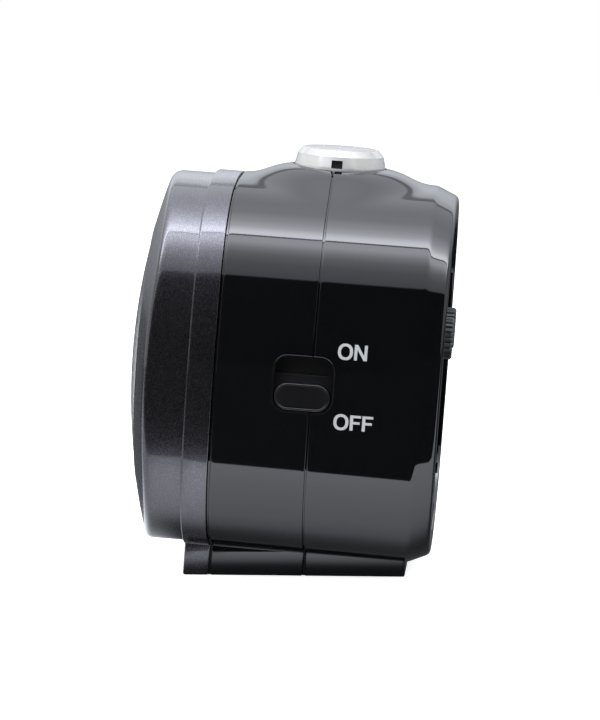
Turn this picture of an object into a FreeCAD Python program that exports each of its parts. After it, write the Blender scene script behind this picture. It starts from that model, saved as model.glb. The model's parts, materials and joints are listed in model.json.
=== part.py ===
"""Analog alarm clock: a rounded-square drum on a short flat foot, leaning back, in millimetres.

The part's frame has +Z up, +Y to the rear, the dial at -Y, and its origin on the ground, plumb under the
drum's centre. The clock is drawn in the drum's own frame (x sideways, y along the drum towards the rear,
z across it) and each finished piece is leaned back by place().
"""
import FreeCAD, Part
import math
import os

from FreeCAD import Rotation, Vector

# Drum: outline and places along its axis
face_half = 45.0          # half the width, and half the height, of the drum
side_radius = 100.0       # bow of each of the four sides
corner_radius = 27.5
lean_angle = 4.15         # degrees the dial looks up
foot_height = 3.84        # ground to the drum's side, plumb under its centre
wall = 2.2
seam_front = -17.3        # bezel meets middle case
seam_rear = 5.07          # middle case meets rear case
seam_gap = 0.35
seam_depth = 0.7
lip_length = 2.4          # register lip inside each seam
lip_wall = 1.0
lip_gap = 0.1
boss_inset = 5.4          # case screws, inward from the corners
boss_radius = 3.4
boss_front = -10.0
screw_radius = 0.85
screw_hole = 1.1
screw_head = 2.0
screw_head_thick = 1.4

# Bezel
dome_radius = 145.0
dome_apex = -40.3         # where the dome would cross the axis
bezel_inset = 0.9         # front ring is smaller than the rear ring
step_y = -23.4
bezel_edge_round = 1.3
opening_radius = 33.0
opening_round = 0.6
crystal_seat_y = -35.0
bezel_inner_y = -32.0     # inside of the front wall
post_inset = 8.07         # screw posts, inward from the corners
post_radius = 2.6
post_hole_radius = 0.9

# Rear end of the drum
taper_start = 29.6
rear_y = 34.75
taper_inset = 2.3
rear_round = 1.4
recess_inset = 7.5
recess_depth = 3.75

# Foot
foot_half_width = 19.4
foot_rear = 25.8
foot_bottom_round = 0.8
foot_wall = 2.2
foot_rise = 15.0          # how far the foot's block reaches up into the drum

# Snooze button and the blister around it
button_y = 5.9
button_rise = 4.1             # button's top over the blister
button_base = (10.9, 15.8)    # half length along the drum, half width across it
button_rim = (10.3, 15.1)
button_face = (8.95, 14.0)
button_rim_drop = 1.5
button_wall = 1.3
button_gap = 0.3
button_lip = 1.2
button_lip_height = 1.1
notch_width = 2.8
notch_height = 1.9
notch_depth = 0.8
notch_drop = 1.9
button_stem_radius = 2.2
stem_gap = 1.6                # button's stem to the snooze switch
bracket_drop = 13.9           # bracket's shelf below the blister's top
bracket_thick = 1.6
bracket_width = 8.0
bracket_leg = 20.2            # middle of each leg, sideways
snooze_switch = (6.0, 6.0, 3.4)
spring_inner = 4.6
spring_outer = 5.2
plateau_rise = 3.3            # blister's flat top over the drum's side
blister_depth = 12.0          # of the block under the blister's skin
blister_half = (16.7, 21.5)   # where the blister is half as high, along the drum and across it
blister_steepness = 6
patch_half_width = 31.0
patch_rows = 13
patch_columns = 17

# Crystal, dial and hands
crystal_wall = 1.6
crystal_gap = 0.15
crystal_flange = 35.4
crystal_flange_thick = 1.2
ring_depth = 3.6
ring_outer = 37.0
ring_front_radius = 32.3
ring_rear_radius = 31.4
dial_thick = 0.8
hand_thick = 0.4
hand_gap = 0.6
hour_hand_length = 17.0
minute_hand_length = 26.0
second_hand_length = 27.5
alarm_hand_length = 14.0
alarm_hand_widths = (1.2, 0.9)
hour_hand_widths = (2.2, 2.8)
minute_hand_widths = (1.8, 2.2)
hour_angle = 305.3        # ten past ten and 35 seconds
minute_angle = 63.5
second_angle = 210.0
alarm_angle = 180.0

# Centre stack: outer radius of each shaft, inside out
arbor_radius = 0.5
minute_pipe = 1.2
hour_pipe = 1.9
alarm_pipe = 2.6
bushing_radius = 4.0
run_clearance = 0.06

# Movement
holder_thick = 1.5
movement_half = 27.5
plate_thick = 1.6
cover_wall = 1.3
gear_thick = 1.0
layer_gap = 0.2
layers = 8
third_distance = 10.8     # between shafts of meshing wheels
fifth_distance = 8.4
rotor_distance = 8.4
minute_distance = 8.0
knob_share = 0.991        # setting knobs' distance, over the two wheels' in line
third_angle = -90.0       # direction from one shaft to the next, degrees from +x towards +z
fifth_angle = 180.0
rotor_angle = 200.0
rotor_teeth = 8
fifth_wheel_teeth = 48
fifth_pinion_teeth = 8
second_wheel_teeth = 40
second_pinion_teeth = 8
third_wheel_teeth = 60
third_pinion_teeth = 8
centre_wheel_teeth = 64
cannon_teeth = 10
minute_wheel_teeth = 30
minute_pinion_teeth = 8
hour_wheel_teeth = 32
time_pinion_teeth = 12
alarm_pinion_teeth = 10
alarm_wheel_teeth = 40
tooth_share = 0.42        # tooth width over pitch, at the pitch circle
tooth_rise = 0.8          # in modules
tooth_root = 1.1
tooth_slope = 0.36
post_shaft = 0.55
pivot_radius = 0.4
pivot_reach = 0.7         # of each spindle into the cover
bridge_gap = 1.2          # bridge's ends to the cover
bridge_height = 34.0
bridge_low = -16.0
bridge_post_inset = 2.0
bridge_post_radius = 1.4
rotor_magnet_radius = 2.9
rotor_gap = 0.5
stator_thick = 0.7
coil_radius = 3.2
coil_length = 14.8
coil_place = (-16.4, -20.5)
board_size = (17.0, 13.0)
board_place = (8.5, -25.0)
board_thick = 0.8
board_gap = 1.7           # from the board to the cover
quartz_radius = 0.9

# Setting knobs
knob_height_above_axis = 10.0
knob_radius = 5.0
knob_length = 4.9
knob_ridges = 24
knob_ridge_depth = 0.35
knob_edge = 0.4
stem_depth = 3.0          # of each stem's end inside its knob
knob_skirt_gap = 0.3
stem_radius = 1.1

# Alarm switch on the right side
switch_y = 3.3
switch_frame = (14.4, 13.3)   # along the drum, up the side
switch_opening = (13.2, 12.3)
switch_corner = 3.0
switch_frame_proud = 0.25
switch_knob = (12.7, 6.1)
switch_end_gap = 0.15
switch_knob_proud = 0.7
switch_dish_depth = 0.45
slider_size = (15.5, 10.0)
slider_thick = 1.4
slider_gap = 0.15
slider_inset = 2.75           # outer face of the slider plate, inside the drum's side
cage_wall = 1.3
cage_floor = 1.6

# Battery and its door
cell_radius = 7.1
cell_length = 49.2
cell_nub_radius = 2.7
cell_nub_length = 1.2
cell_edge = 0.5
door_clearance = 0.84     # from the door's lower edge up from the screw heads
tray_wall = 1.3
tray_gap = 0.5
tray_end_gap = 2.6
door_thick = 1.8
door_gap = 0.25
door_margin = 1.2
tab_place = 18.0
tab_width = 6.0
tab_thick = 1.1
tab_reach = 1.15
tab_neck = 1.2            # height of the neck of each hook
neck_low = 0.5            # neck over the door's lower edge
tab_gap = 0.25            # hook to the rear wall
hook_room = 1.9           # depth and height of the slot behind the wall, and of the passage
passage_height = 2.2
slot_height = 3.0
notch_radius = 8.0        # fingertip scoop over the door
notch_out = 6.8
contact_thick = 0.4
contact_size = 9.0
spring_coil_radius = 4.2

# Sounder
sounder_radius = 12.0
sounder_z = 22.0
sounder_height = 3.0
sounder_disc = 0.3
slot_count = 5
slot_pitch = 3.0
slot_width = 1.2
slot_length = 12.0


def layer(number):
    """Front of a gear layer, counted from 1 behind the movement's front plate."""
    return gear_front + (number - 1) * (gear_thick + layer_gap)


dial_y = crystal_seat_y + crystal_flange_thick + ring_depth
holder_y = dial_y + dial_thick
plate_y = holder_y + holder_thick
gear_front = plate_y + plate_thick + layer_gap
cover_y = gear_front + layers * (gear_thick + layer_gap) + 0.4
movement_rear = cover_y + cover_wall
alarm_hand_y = dial_y - 0.8 - hand_thick
hour_hand_y = alarm_hand_y - hand_gap - hand_thick
minute_hand_y = hour_hand_y - hand_gap - hand_thick
second_hand_y = minute_hand_y - hand_gap - hand_thick
recess_y = rear_y - recess_depth
axis_height = face_half + foot_height
plateau_height = face_half + plateau_rise
plateau_underside = plateau_height - wall
button_top = plateau_height + button_rise
bracket_z = plateau_height - bracket_drop
button_stem_end = bracket_z + bracket_thick + snooze_switch[2] + stem_gap
slider_face = face_half - slider_inset
time_distance = minute_distance * (minute_wheel_teeth + time_pinion_teeth) / (
    cannon_teeth + minute_wheel_teeth)
alarm_distance = knob_share * (minute_distance + time_distance)
knob_x = math.sqrt(alarm_distance ** 2 - knob_height_above_axis ** 2)
far = 4 * face_half       # beyond everything, for cuts
stator_y = layer(4) + 0.1
board_y = cover_y - board_gap - board_thick


def cylinder(radius, length, x, y, z):
    """Round bar along the drum's axis, from y towards the rear."""
    return Part.makeCylinder(radius, length, Vector(x, y, z), Vector(0, 1, 0))


def box(size, centre_x, low_y, low_z):
    """Block centred on centre_x, with its lowest y and z given."""
    return Part.makeBox(size[0], size[1], size[2], Vector(centre_x - size[0] / 2, low_y, low_z))


def corner_centre():
    """Distance of a corner's centre from the drum axis, along x and along z."""
    offset = face_half - side_radius
    reach = side_radius - corner_radius
    return (offset + math.sqrt(2 * reach ** 2 - offset ** 2)) / 2


def outline_point(turn, inset):
    """Point (x, z) of the rounded square where its outward normal has the angle turn, in degrees."""
    quarter = round(turn / 90.0)
    local = math.radians(turn - 90.0 * quarter)
    centre = corner_centre()
    offset = face_half - side_radius
    join = math.atan2(centre, centre - offset)
    if abs(local) <= join:
        x = offset + (side_radius - inset) * math.cos(local)
        z = (side_radius - inset) * math.sin(local)
    else:
        x = centre + (corner_radius - inset) * math.cos(local)
        z = math.copysign(centre, local) + (corner_radius - inset) * math.sin(local)
    swing = math.radians(90.0 * quarter)
    return (x * math.cos(swing) - z * math.sin(swing), x * math.sin(swing) + z * math.cos(swing))


def join_angle():
    """Half the angle over which a side bows, in degrees."""
    centre = corner_centre()
    return math.degrees(math.atan2(centre, centre - face_half + side_radius))


def outline_arc(start, end, inset, y):
    """One circular arc of the outline between two normal angles."""
    ends = []
    for turn in (start, (start + end) / 2, end):
        x, z = outline_point(turn, inset)
        ends.append(Vector(x, y, z))
    return Part.Arc(ends[0], ends[1], ends[2]).toShape()


def outline_wire(inset, y):
    """Closed outline of the drum at y: four bowed sides and four corners, all tangent."""
    join = join_angle()
    edges = []
    for quarter in range(4):
        middle = 90.0 * quarter
        edges.append(outline_arc(middle - join, middle + join, inset, y))
        edges.append(outline_arc(middle + join, middle + 90.0 - join, inset, y))
    return Part.Wire(edges)


def prism(inset, low, high):
    """Straight bar with the drum's outline."""
    return Part.Face(outline_wire(inset, low)).extrude(Vector(0, high - low, 0))


def top_height(x):
    """Height of the drum's plain outline over its axis, at a sideways place."""
    centre = corner_centre()
    if abs(x) <= side_radius * math.sin(math.radians(join_angle())):
        return face_half - side_radius + math.sqrt(side_radius ** 2 - x ** 2)
    return centre + math.sqrt(corner_radius ** 2 - (abs(x) - centre) ** 2)


def blister_height(x, y):
    """Height of the drum's top with the blister: a flat top and S-shaped flanks that fade out."""
    reach = math.hypot((y - button_y) / blister_half[0], x / blister_half[1])
    share = math.exp(-math.log(2) * reach ** blister_steepness)
    return top_height(x) + share * (plateau_height - top_height(x))


def steps(count):
    """Even steps from 0 to 1."""
    return [number / (count - 1) for number in range(count)]


def spline(points):
    """Smooth curve through points that are evenly spaced."""
    curve = Part.BSplineCurve()
    curve.interpolate(Points=points, Parameters=steps(len(points)))
    return curve


def blister_patch():
    """Smooth face over the top of the drum, from the front seam to the rear, with the blister in it."""
    lines = []
    for along in steps(patch_columns):
        y = seam_front + (rear_y - seam_front) * along
        xs = [patch_half_width * (2 * across - 1) for across in steps(patch_rows)]
        lines.append(spline([Vector(x, y, blister_height(x, y)) for x in xs]))
    columns = []
    for poles in zip(*[line.getPoles() for line in lines]):
        columns.append(spline(list(poles)))
    surface = Part.BSplineSurface()
    surface.buildFromPolesMultsKnots([column.getPoles() for column in columns],
                                     lines[0].getMultiplicities(), columns[0].getMultiplicities(),
                                     lines[0].getKnots(), columns[0].getKnots(), False, False, 3, 3)
    return surface.toShape()


def frustum(inset_low, low, inset_high, high):
    """Tapered end of the drum between two outlines."""
    return Part.makeLoft([outline_wire(inset_low, low), outline_wire(inset_high, high)], True, True)


def place(shape):
    """Leans a piece from the drum's frame into the part's frame."""
    placed = shape.copy()
    placed.rotate(Vector(0, 0, 0), Vector(1, 0, 0), -lean_angle)
    placed.translate(Vector(0, 0, axis_height))
    return placed


def unplace(shape):
    """Brings a piece drawn in the part's frame into the drum's frame."""
    back = shape.copy()
    back.translate(Vector(0, 0, -axis_height))
    back.rotate(Vector(0, 0, 0), Vector(1, 0, 0), lean_angle)
    return back


def slab(low, high):
    """Everything of the clock between two planes across the drum."""
    return box((far, high - low, far), 0, low, -far / 2)


def foot_block(inset):
    """Foot, from the ground up into the drum: its front leans with the drum and its rear is upright."""
    size = (2 * (foot_half_width - inset), far / 2 + foot_rear - inset, foot_height + foot_rise)
    block = box(size, 0, -far / 2, inset)
    if inset == 0:
        low_rear = [edge for edge in block.Edges
                    if edge.CenterOfMass.y > foot_rear - 0.01 and edge.CenterOfMass.z < 0.01]
        block = block.makeFillet(foot_bottom_round, low_rear)
    return unplace(block).common(slab(step_y + inset, far / 2))


def sphere_cut(radius, apex):
    """Ball whose front pole lies at apex on the axis."""
    return Part.makeSphere(radius, Vector(0, apex + radius, 0))


def dome_y(radius, reach):
    """Place of the front dome along the axis, at a distance from the axis."""
    return dome_apex + radius - math.sqrt(radius ** 2 - reach ** 2)


def bezel():
    """Domed front ring with its stepped rear ring, its slice of the foot and four screw posts."""
    front = prism(bezel_inset, dome_apex - 5, step_y).common(sphere_cut(dome_radius, dome_apex))
    rim = [edge for edge in front.Edges if edge.CenterOfMass.y < step_y - 5]
    front = front.makeChamfer(bezel_edge_round, rim)
    shell = front.fuse(prism(0, step_y, seam_front))
    shell = shell.fuse(foot_block(0).common(slab(step_y, seam_front)))
    shell = shell.cut(prism(bezel_inset + wall, bezel_inner_y, seam_front + 1))
    shell = shell.cut(foot_hollow())
    shell = shell.cut(cylinder(opening_radius, 20, 0, dome_apex - 5, 0))
    lip_y = dome_y(dome_radius, opening_radius)
    lip = Part.makeCone(opening_radius + 2 * opening_round, opening_radius, 2 * opening_round,
                        Vector(0, lip_y - opening_round, 0), Vector(0, 1, 0))
    shell = shell.cut(lip)
    shell = shell.cut(cylinder(crystal_flange + crystal_gap, 20, 0, crystal_seat_y, 0))
    shell = shell.cut(cylinder(ring_outer + crystal_gap, 20, 0, crystal_seat_y + crystal_flange_thick, 0))
    for x, z in corners(post_inset):
        post = cylinder(post_radius, holder_y - bezel_inner_y, x, bezel_inner_y, z)
        shell = shell.fuse(post.cut(cylinder(post_hole_radius, 20, x, holder_y - 3.5, z)))
    return shell.removeSplitter()


def corners(inset):
    """The four places inside the drum's corners."""
    x, z = outline_point(45.0, inset)
    return [(side * x, height * z) for side in (-1, 1) for height in (-1, 1)]


def foot_hollow():
    """Inside of the foot, open into the drum."""
    return foot_block(foot_wall).common(box((far, far, far / 2), 0, -far / 2, -far / 2 - 1))


def case_body():
    """Middle and rear case in one, before the seams divide them: walls, blister, taper and foot."""
    body = prism(0, seam_front, rear_y)
    width = 2 * patch_half_width
    body = body.cut(box((width, far, far), 0, seam_front - 1, top_height(patch_half_width)))
    body = body.fuse(blister_patch().extrude(Vector(0, 0, -blister_depth)))
    reach = (taper_start - seam_front + 1) / (rear_y - taper_start)
    body = body.common(frustum(-taper_inset * reach, taper_start - reach * (rear_y - taper_start),
                               taper_inset, rear_y))
    rim = [edge for edge in body.Edges if abs(edge.CenterOfMass.y - rear_y) < 0.01]
    body = body.makeChamfer(rear_round, rim)
    body = body.fuse(foot_block(0).common(slab(seam_front, far / 2)))
    body = body.fuse(switch_plate(switch_frame, face_half - 2, face_half + switch_frame_proud))
    body = body.cut(switch_plate(switch_opening, face_half - 10, face_half + 10))
    body = body.cut(prism(wall, seam_front - 1, recess_y - wall))
    body = body.cut(foot_hollow())
    body = body.cut(prism(recess_inset, recess_y, rear_y + 1))
    body = body.cut(oval_bar(button_base, 30, plateau_underside, button_lip + 2 * button_gap))
    body = body.cut(oval_bar(button_base, 30, 60, button_gap))
    return body


def switch_plate(size, low_x, high_x, shift=0.0):
    """Rounded plate in the side of the case, size along the drum and up the side."""
    corner = min(switch_corner, size[1] / 2 - 0.01)
    plate = Part.makeBox(high_x - low_x, size[0], size[1],
                         Vector(low_x, switch_y - size[0] / 2, shift - size[1] / 2))
    along = [edge for edge in plate.Edges if abs(edge.tangentAt(edge.FirstParameter).x) > 0.9]
    return plate.makeFillet(corner, along)


def oval_bar(half, low, high, grow=0.0):
    """Upright bar of oval plan under the button, grown by a margin."""
    return Part.Face(oval_wire(half, low, grow)).extrude(Vector(0, 0, high - low))


def oval_wire(half, height, grow=0.0):
    """Oval around the button's axis: half is its half length along the drum and half width across."""
    curve = Part.Ellipse(Vector(0, button_y, height), half[1] + grow, half[0] + grow)
    return Part.Wire([curve.toShape()])


def ring_bar(outer_inset, inner_inset, low, high):
    """Band between two outlines of the drum."""
    return prism(outer_inset, low, high).cut(prism(inner_inset, low - 1, high + 1))


def lip(inset, seam):
    """Register lip that reaches forward through a seam, with the foot of the lip behind it."""
    inner = inset + lip_wall + lip_gap
    band = ring_bar(inset + lip_gap, inner, seam - lip_length, seam + lip_length)
    return band.fuse(ring_bar(wall - lip_gap, inner, seam + lip_gap, seam + lip_length))


def seam_groove(seam):
    """Shadow gap round the drum, its blister and its foot."""
    band = slab(seam, seam + seam_gap)
    core = prism(seam_depth, seam, seam + seam_gap)
    core = core.fuse(foot_block(0).common(band).common(box(
        (2 * (foot_half_width - seam_depth), far, far / 2), 0, -far / 2, -far / 2)))
    crown = blister_patch().extrude(Vector(0, 0, -blister_depth))
    crown.translate(Vector(0, 0, -seam_depth))
    core = core.fuse(crown.common(band).common(box((2 * patch_half_width - 2, far, far / 2), 0, -far / 2, 0)))
    return band.cut(core)


def middle_case(body):
    """Case between the seams, with its front lip and screw bosses."""
    shell = body.common(slab(seam_front, seam_rear))
    shell = shell.cut(seam_groove(seam_front))
    shell = shell.fuse(lip(bezel_inset + wall, seam_front))
    for x, z in corners(boss_inset):
        boss = cylinder(boss_radius, seam_rear - lip_length - lip_gap - boss_front, x, boss_front, z)
        shell = shell.fuse(boss.common(prism(wall / 2, boss_front, seam_rear)))
        shell = shell.cut(cylinder(screw_radius + run_clearance, 30, x, boss_front + 2, z))
    return shell


def rear_case(body):
    """Rear shell with its wall, lip, screw bosses, battery tray, knob bearings and sounder slots."""
    shell = body.common(slab(seam_rear, rear_y))
    shell = shell.cut(seam_groove(seam_rear))
    register = lip(wall, seam_rear)
    register = register.cut(box((48, 60, 60), 0, -20, 30))
    register = register.cut(cage_block(0.2))
    shell = shell.fuse(register)
    tray_low = cell_height() - cell_radius - tray_gap
    tray_high = cell_height() + cell_radius + tray_gap
    tray_half = tray_half_length()
    tray = Part.makeBox(2 * (tray_half + tray_wall), recess_y - wall - tray_front() + tray_wall,
                        tray_high - tray_low + 2 * tray_wall,
                        Vector(-tray_half - tray_wall, tray_front() - tray_wall, tray_low - tray_wall))
    for x, z in corners(boss_inset):
        start = seam_rear - lip_length
        boss = cylinder(boss_radius, recess_y - start, x, start, z)
        shell = shell.fuse(boss.common(prism(wall + lip_gap, start, recess_y)))
    shell = shell.fuse(tray)
    shell = shell.cut(box((2 * tray_half, 60, tray_high - tray_low), 0, tray_front(), tray_low))
    shell = shell.cut(box((door_size()[0] + 2 * door_gap, 60, door_size()[1] + 2 * door_gap), 0,
                          recess_y - door_thick, door_low() - door_gap))
    for side in (-1, 1):
        shell = shell.cut(box((tab_width + 1, hook_room, slot_height), side * tab_place,
                              recess_y - wall - hook_room, door_low() - slot_height / 2))
        shell = shell.cut(box((tab_width + 1, wall, passage_height), side * tab_place, recess_y - wall,
                              door_low()))
        shell = shell.cut(cylinder(stem_radius + run_clearance, 20, side * knob_x, recess_y - 10,
                                   knob_height_above_axis))
    shell = shell.cut(finger_notch())
    for x, z in corners(boss_inset):
        shell = shell.cut(cylinder(screw_hole, 60, x, 0, z))
        shell = shell.cut(cylinder(screw_head + lip_gap, 20, x, recess_y - screw_head_thick, z))
    for number in range(slot_count):
        height = sounder_z + (number - (slot_count - 1) / 2) * slot_pitch
        shell = shell.cut(box((slot_length, 20, slot_width), 0, recess_y - wall - 2, height - slot_width / 2))
    return shell


def cell_height():
    """Height of the cell's middle, above the lower case screws."""
    lowest = outline_point(-45.0, boss_inset)[1] + screw_head + door_clearance
    return lowest + door_size()[1] / 2


def tray_half_length():
    """Half the inner length of the battery tray."""
    return (cell_length + cell_nub_length) / 2 + tray_end_gap


def tray_front():
    """Inner front face of the battery tray."""
    return recess_y - door_thick - 2 * (cell_radius + tray_gap)


def door_size():
    """Width and height of the battery door."""
    width = 2 * (tray_half_length() + door_margin - door_gap)
    return (width, 2 * (cell_radius + tray_gap + door_margin - door_gap))


def door_low():
    """Lower edge of the battery door, where it turns."""
    return cell_height() - door_size()[1] / 2


def finger_notch():
    """Scoop over the battery door for a fingertip."""
    return Part.makeSphere(notch_radius, Vector(0, recess_y + notch_out, door_low() + door_size()[1] + 1))


def battery_door():
    """Door plate with two hooks at its lower edge and a thumb ledge at its upper edge."""
    width, height = door_size()
    door = box((width, door_thick, height), 0, recess_y - door_thick, door_low())
    for side in (-1, 1):
        hook_y = recess_y - wall - tab_gap - tab_thick
        neck = box((tab_width, recess_y - door_thick - hook_y, tab_neck), side * tab_place, hook_y,
                   door_low() + neck_low)
        hook = box((tab_width, tab_thick, tab_reach + tab_neck / 2), side * tab_place, hook_y,
                   door_low() - tab_reach)
        door = door.fuse(neck).fuse(hook)
    door = door.cut(finger_notch())
    return door.removeSplitter()


def battery_cell():
    """Round cell lying across the case, with its raised pole."""
    pole_x = tray_half_length() - contact_thick
    y = tray_front() + cell_radius + tray_gap
    can_end = pole_x - cell_nub_length
    start = Vector(can_end - cell_length, y, cell_height())
    can = Part.makeCylinder(cell_radius, cell_length, start, Vector(1, 0, 0))
    can = can.makeChamfer(cell_edge, [edge for edge in can.Edges if edge.Length > 30 and edge.Closed])
    pole = Vector(can_end, y, cell_height())
    nub = Part.makeCylinder(cell_nub_radius, cell_nub_length, pole, Vector(1, 0, 0))
    return can.fuse(nub)


def pole_contact():
    """Flat contact plate at the cell's raised pole, on the tray's end wall."""
    y = tray_front() + cell_radius + tray_gap
    z = cell_height() - contact_size / 2
    return Part.makeBox(contact_thick, contact_size, contact_size,
                        Vector(tray_half_length() - contact_thick, y - contact_size / 2, z))


def spring_contact():
    """Contact spring at the cell's flat end: a tapered sleeve of its outer size on its plate."""
    y = tray_front() + cell_radius + tray_gap
    start = -tray_half_length()
    end = tray_half_length() - contact_thick - cell_nub_length - cell_length
    plate = Part.makeBox(contact_thick, contact_size + 1, contact_size + 1,
                         Vector(start, y - contact_size / 2 - 0.5, cell_height() - contact_size / 2 - 0.5))
    length = end - start - contact_thick
    sleeve = Part.makeCone(spring_coil_radius, spring_coil_radius - 1.6, length,
                           Vector(start + contact_thick, y, cell_height()), Vector(1, 0, 0))
    hole = Part.makeCone(spring_coil_radius - 0.6, spring_coil_radius - 2.2, length,
                         Vector(start + contact_thick, y, cell_height()), Vector(1, 0, 0))
    return plate.fuse(sleeve.cut(hole))


def snooze_button():
    """Oval button: flared skirt, bevelled rim, retaining lip, stem and a small notch in its side."""
    rim_z = button_top - button_rim_drop
    skirt_low = plateau_underside - button_gap - button_lip_height
    button = oval_bar(button_base, skirt_low, plateau_height)
    button = button.fuse(Part.makeLoft([oval_wire(button_base, plateau_height), oval_wire(button_rim, rim_z)],
                                       True, True))
    button = button.fuse(Part.makeLoft([oval_wire(button_rim, rim_z), oval_wire(button_face, button_top)],
                                       True, True))
    button = button.fuse(oval_bar(button_base, skirt_low, skirt_low + button_lip_height, button_lip))
    button = button.cut(oval_bar(button_face, 30, button_top - 2 * button_wall, -button_wall))
    ceiling = button_top - 2 * button_wall
    stem = Part.makeCylinder(button_stem_radius, ceiling - button_stem_end + 0.5,
                             Vector(0, button_y, button_stem_end))
    button = button.fuse(stem)
    notch = Part.makeBox(10, notch_width, notch_height,
                         Vector(button_rim[1] - notch_depth + 0.2, button_y - notch_width / 2,
                                button_top - notch_drop - notch_height))
    return button.cut(notch).removeSplitter()


def snooze_bracket():
    """U-shaped bracket under the case's roof that carries the snooze switch and the button's spring."""
    shelf = box((2 * bracket_leg, bracket_width, bracket_thick), 0, button_y - bracket_width / 2, bracket_z)
    frame = shelf
    for side in (-1, 1):
        leg = box((bracket_thick, bracket_width, face_half - bracket_z), side * bracket_leg,
                  button_y - bracket_width / 2, bracket_z)
        frame = frame.fuse(leg)
    return frame.common(prism(wall, -50, 50))


def snooze_switch_block():
    """Small push switch on the bracket."""
    width, depth, height = snooze_switch
    base = box((width, depth, height - 0.9), 0, button_y - depth / 2, bracket_z + bracket_thick)
    cap_piece = Part.makeCylinder(1.7, 0.9, Vector(0, button_y, bracket_z + bracket_thick + height - 0.9))
    return base.fuse(cap_piece)


def snooze_spring():
    """Return spring of the button: a sleeve of its outer size, from the bracket to the button."""
    low = bracket_z + bracket_thick
    high = button_top - 2 * button_wall
    outer = Part.makeCylinder(spring_outer, high - low, Vector(0, button_y, low))
    return outer.cut(Part.makeCylinder(spring_inner, high - low, Vector(0, button_y, low)))


def switch_rest():
    """Height of the alarm switch's knob when it is down, at off."""
    return -(switch_opening[1] - switch_knob[1]) / 2 + switch_end_gap


def alarm_switch():
    """Switch knob with a shallow dish, on the slider plate behind the case wall."""
    rest = switch_rest()
    knob = switch_plate(switch_knob, slider_face - 0.5, face_half + switch_knob_proud, rest)
    dish = Part.makeCylinder(30.0, 8.0, Vector(face_half + switch_knob_proud + 30.0 - switch_dish_depth,
                                               switch_y, rest - 2.0), Vector(0, 0, 1))
    dish = dish.common(Part.makeBox(10, 7.5, 3.8, Vector(face_half - 2, switch_y - 3.75, rest - 1.9)))
    knob = knob.cut(dish)
    plate = Part.makeBox(slider_thick, slider_size[0], slider_size[1],
                         Vector(slider_face - slider_thick, switch_y - slider_size[0] / 2,
                                rest - slider_size[1] / 2))
    return knob.fuse(plate).removeSplitter()


def switch_travel():
    """How far the knob slides up to on."""
    return switch_opening[1] - switch_knob[1] - 2 * switch_end_gap


def cage_block(grow=0.0):
    """Outer block of the alarm switch's cage, up to the case wall."""
    half_y = slider_size[0] / 2 + slider_gap + cage_wall + grow
    half_z = slider_size[1] / 2 + switch_travel() / 2 + slider_gap + cage_wall + grow
    low_x = slider_face - slider_thick - slider_gap - cage_floor
    return Part.makeBox(20, 2 * half_y, 2 * half_z, Vector(low_x - grow, switch_y - half_y, -half_z))


def switch_cage():
    """Cage that holds the slider against the inside of the case wall."""
    half_y = slider_size[0] / 2 + slider_gap
    half_z = slider_size[1] / 2 + switch_travel() / 2 + slider_gap
    low_x = slider_face - slider_thick - slider_gap
    cage = cage_block().common(prism(wall, -50, 50))
    return cage.cut(Part.makeBox(20, 2 * half_y, 2 * half_z, Vector(low_x, switch_y - half_y, -half_z)))


def sounder_ring():
    """Plastic ring that holds the sounder disc behind the slots."""
    low = recess_y - wall - sounder_height
    ring = cylinder(sounder_radius, sounder_height, 0, low, sounder_z)
    ring = ring.cut(cylinder(sounder_radius - 2.5, 10, 0, low - 1, sounder_z))
    return ring.cut(cylinder(sounder_radius - 1.2, 1.0, 0, low, sounder_z))


def sounder_plate():
    """Thin sounder disc with its round ceramic."""
    low = recess_y - wall - sounder_height
    disc = cylinder(sounder_radius - 1.25, sounder_disc, 0, low + 1.0 - sounder_disc, sounder_z)
    return disc.fuse(cylinder(sounder_radius - 4.5, 0.25, 0, low + 0.75 - sounder_disc, sounder_z))


def case_screws():
    """Four screws through the rear shell into the middle case."""
    screws = []
    for x, z in corners(boss_inset):
        head = cylinder(screw_head, screw_head_thick, x, recess_y - screw_head_thick, z)
        shank = cylinder(screw_radius, recess_y - screw_head_thick - boss_front - 3, x, boss_front + 3, z)
        cross = box((2.4, 0.7, 0.6), x, recess_y - 0.7, z - 0.3)
        cross = cross.fuse(box((0.6, 0.7, 2.4), x, recess_y - 0.7, z - 1.2))
        screws.append(head.fuse(shank).cut(cross))
    return Part.makeCompound(screws)


def crystal():
    """Domed clear cover with a flat flange behind the bezel's lip."""
    radius = dome_radius - crystal_gap
    edge = opening_radius - crystal_gap
    dome = cylinder(edge, 10, 0, dome_apex - 2, 0).common(sphere_cut(radius, dome_apex + crystal_gap))
    dome = dome.common(slab(dome_apex - 2, crystal_seat_y + crystal_flange_thick))
    flange = cylinder(crystal_flange, crystal_flange_thick, 0, crystal_seat_y, 0)
    inner = sphere_cut(radius - crystal_wall, dome_apex + crystal_gap + crystal_wall)
    inner = inner.common(cylinder(ring_front_radius, 40, 0, dome_apex, 0))
    return dome.fuse(flange).cut(inner).removeSplitter()


def dial_ring():
    """Sloped ring between the crystal and the dial."""
    y = crystal_seat_y + crystal_flange_thick
    ring = cylinder(ring_outer, ring_depth, 0, y, 0)
    return ring.cut(Part.makeCone(ring_front_radius, ring_rear_radius, ring_depth, Vector(0, y, 0),
                                  Vector(0, 1, 0)))


def dial():
    """Round dial plate, bored for the movement's bushing."""
    plate = cylinder(ring_outer, dial_thick, 0, dial_y, 0)
    return plate.cut(cylinder(bushing_radius + lip_gap, 10, 0, dial_y - 1, 0))


def clock_direction(degrees):
    """Unit vector of a clock angle, clockwise from the top as seen from the front."""
    turn = math.radians(degrees)
    return Vector(math.sin(turn), 0, math.cos(turn))


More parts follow.
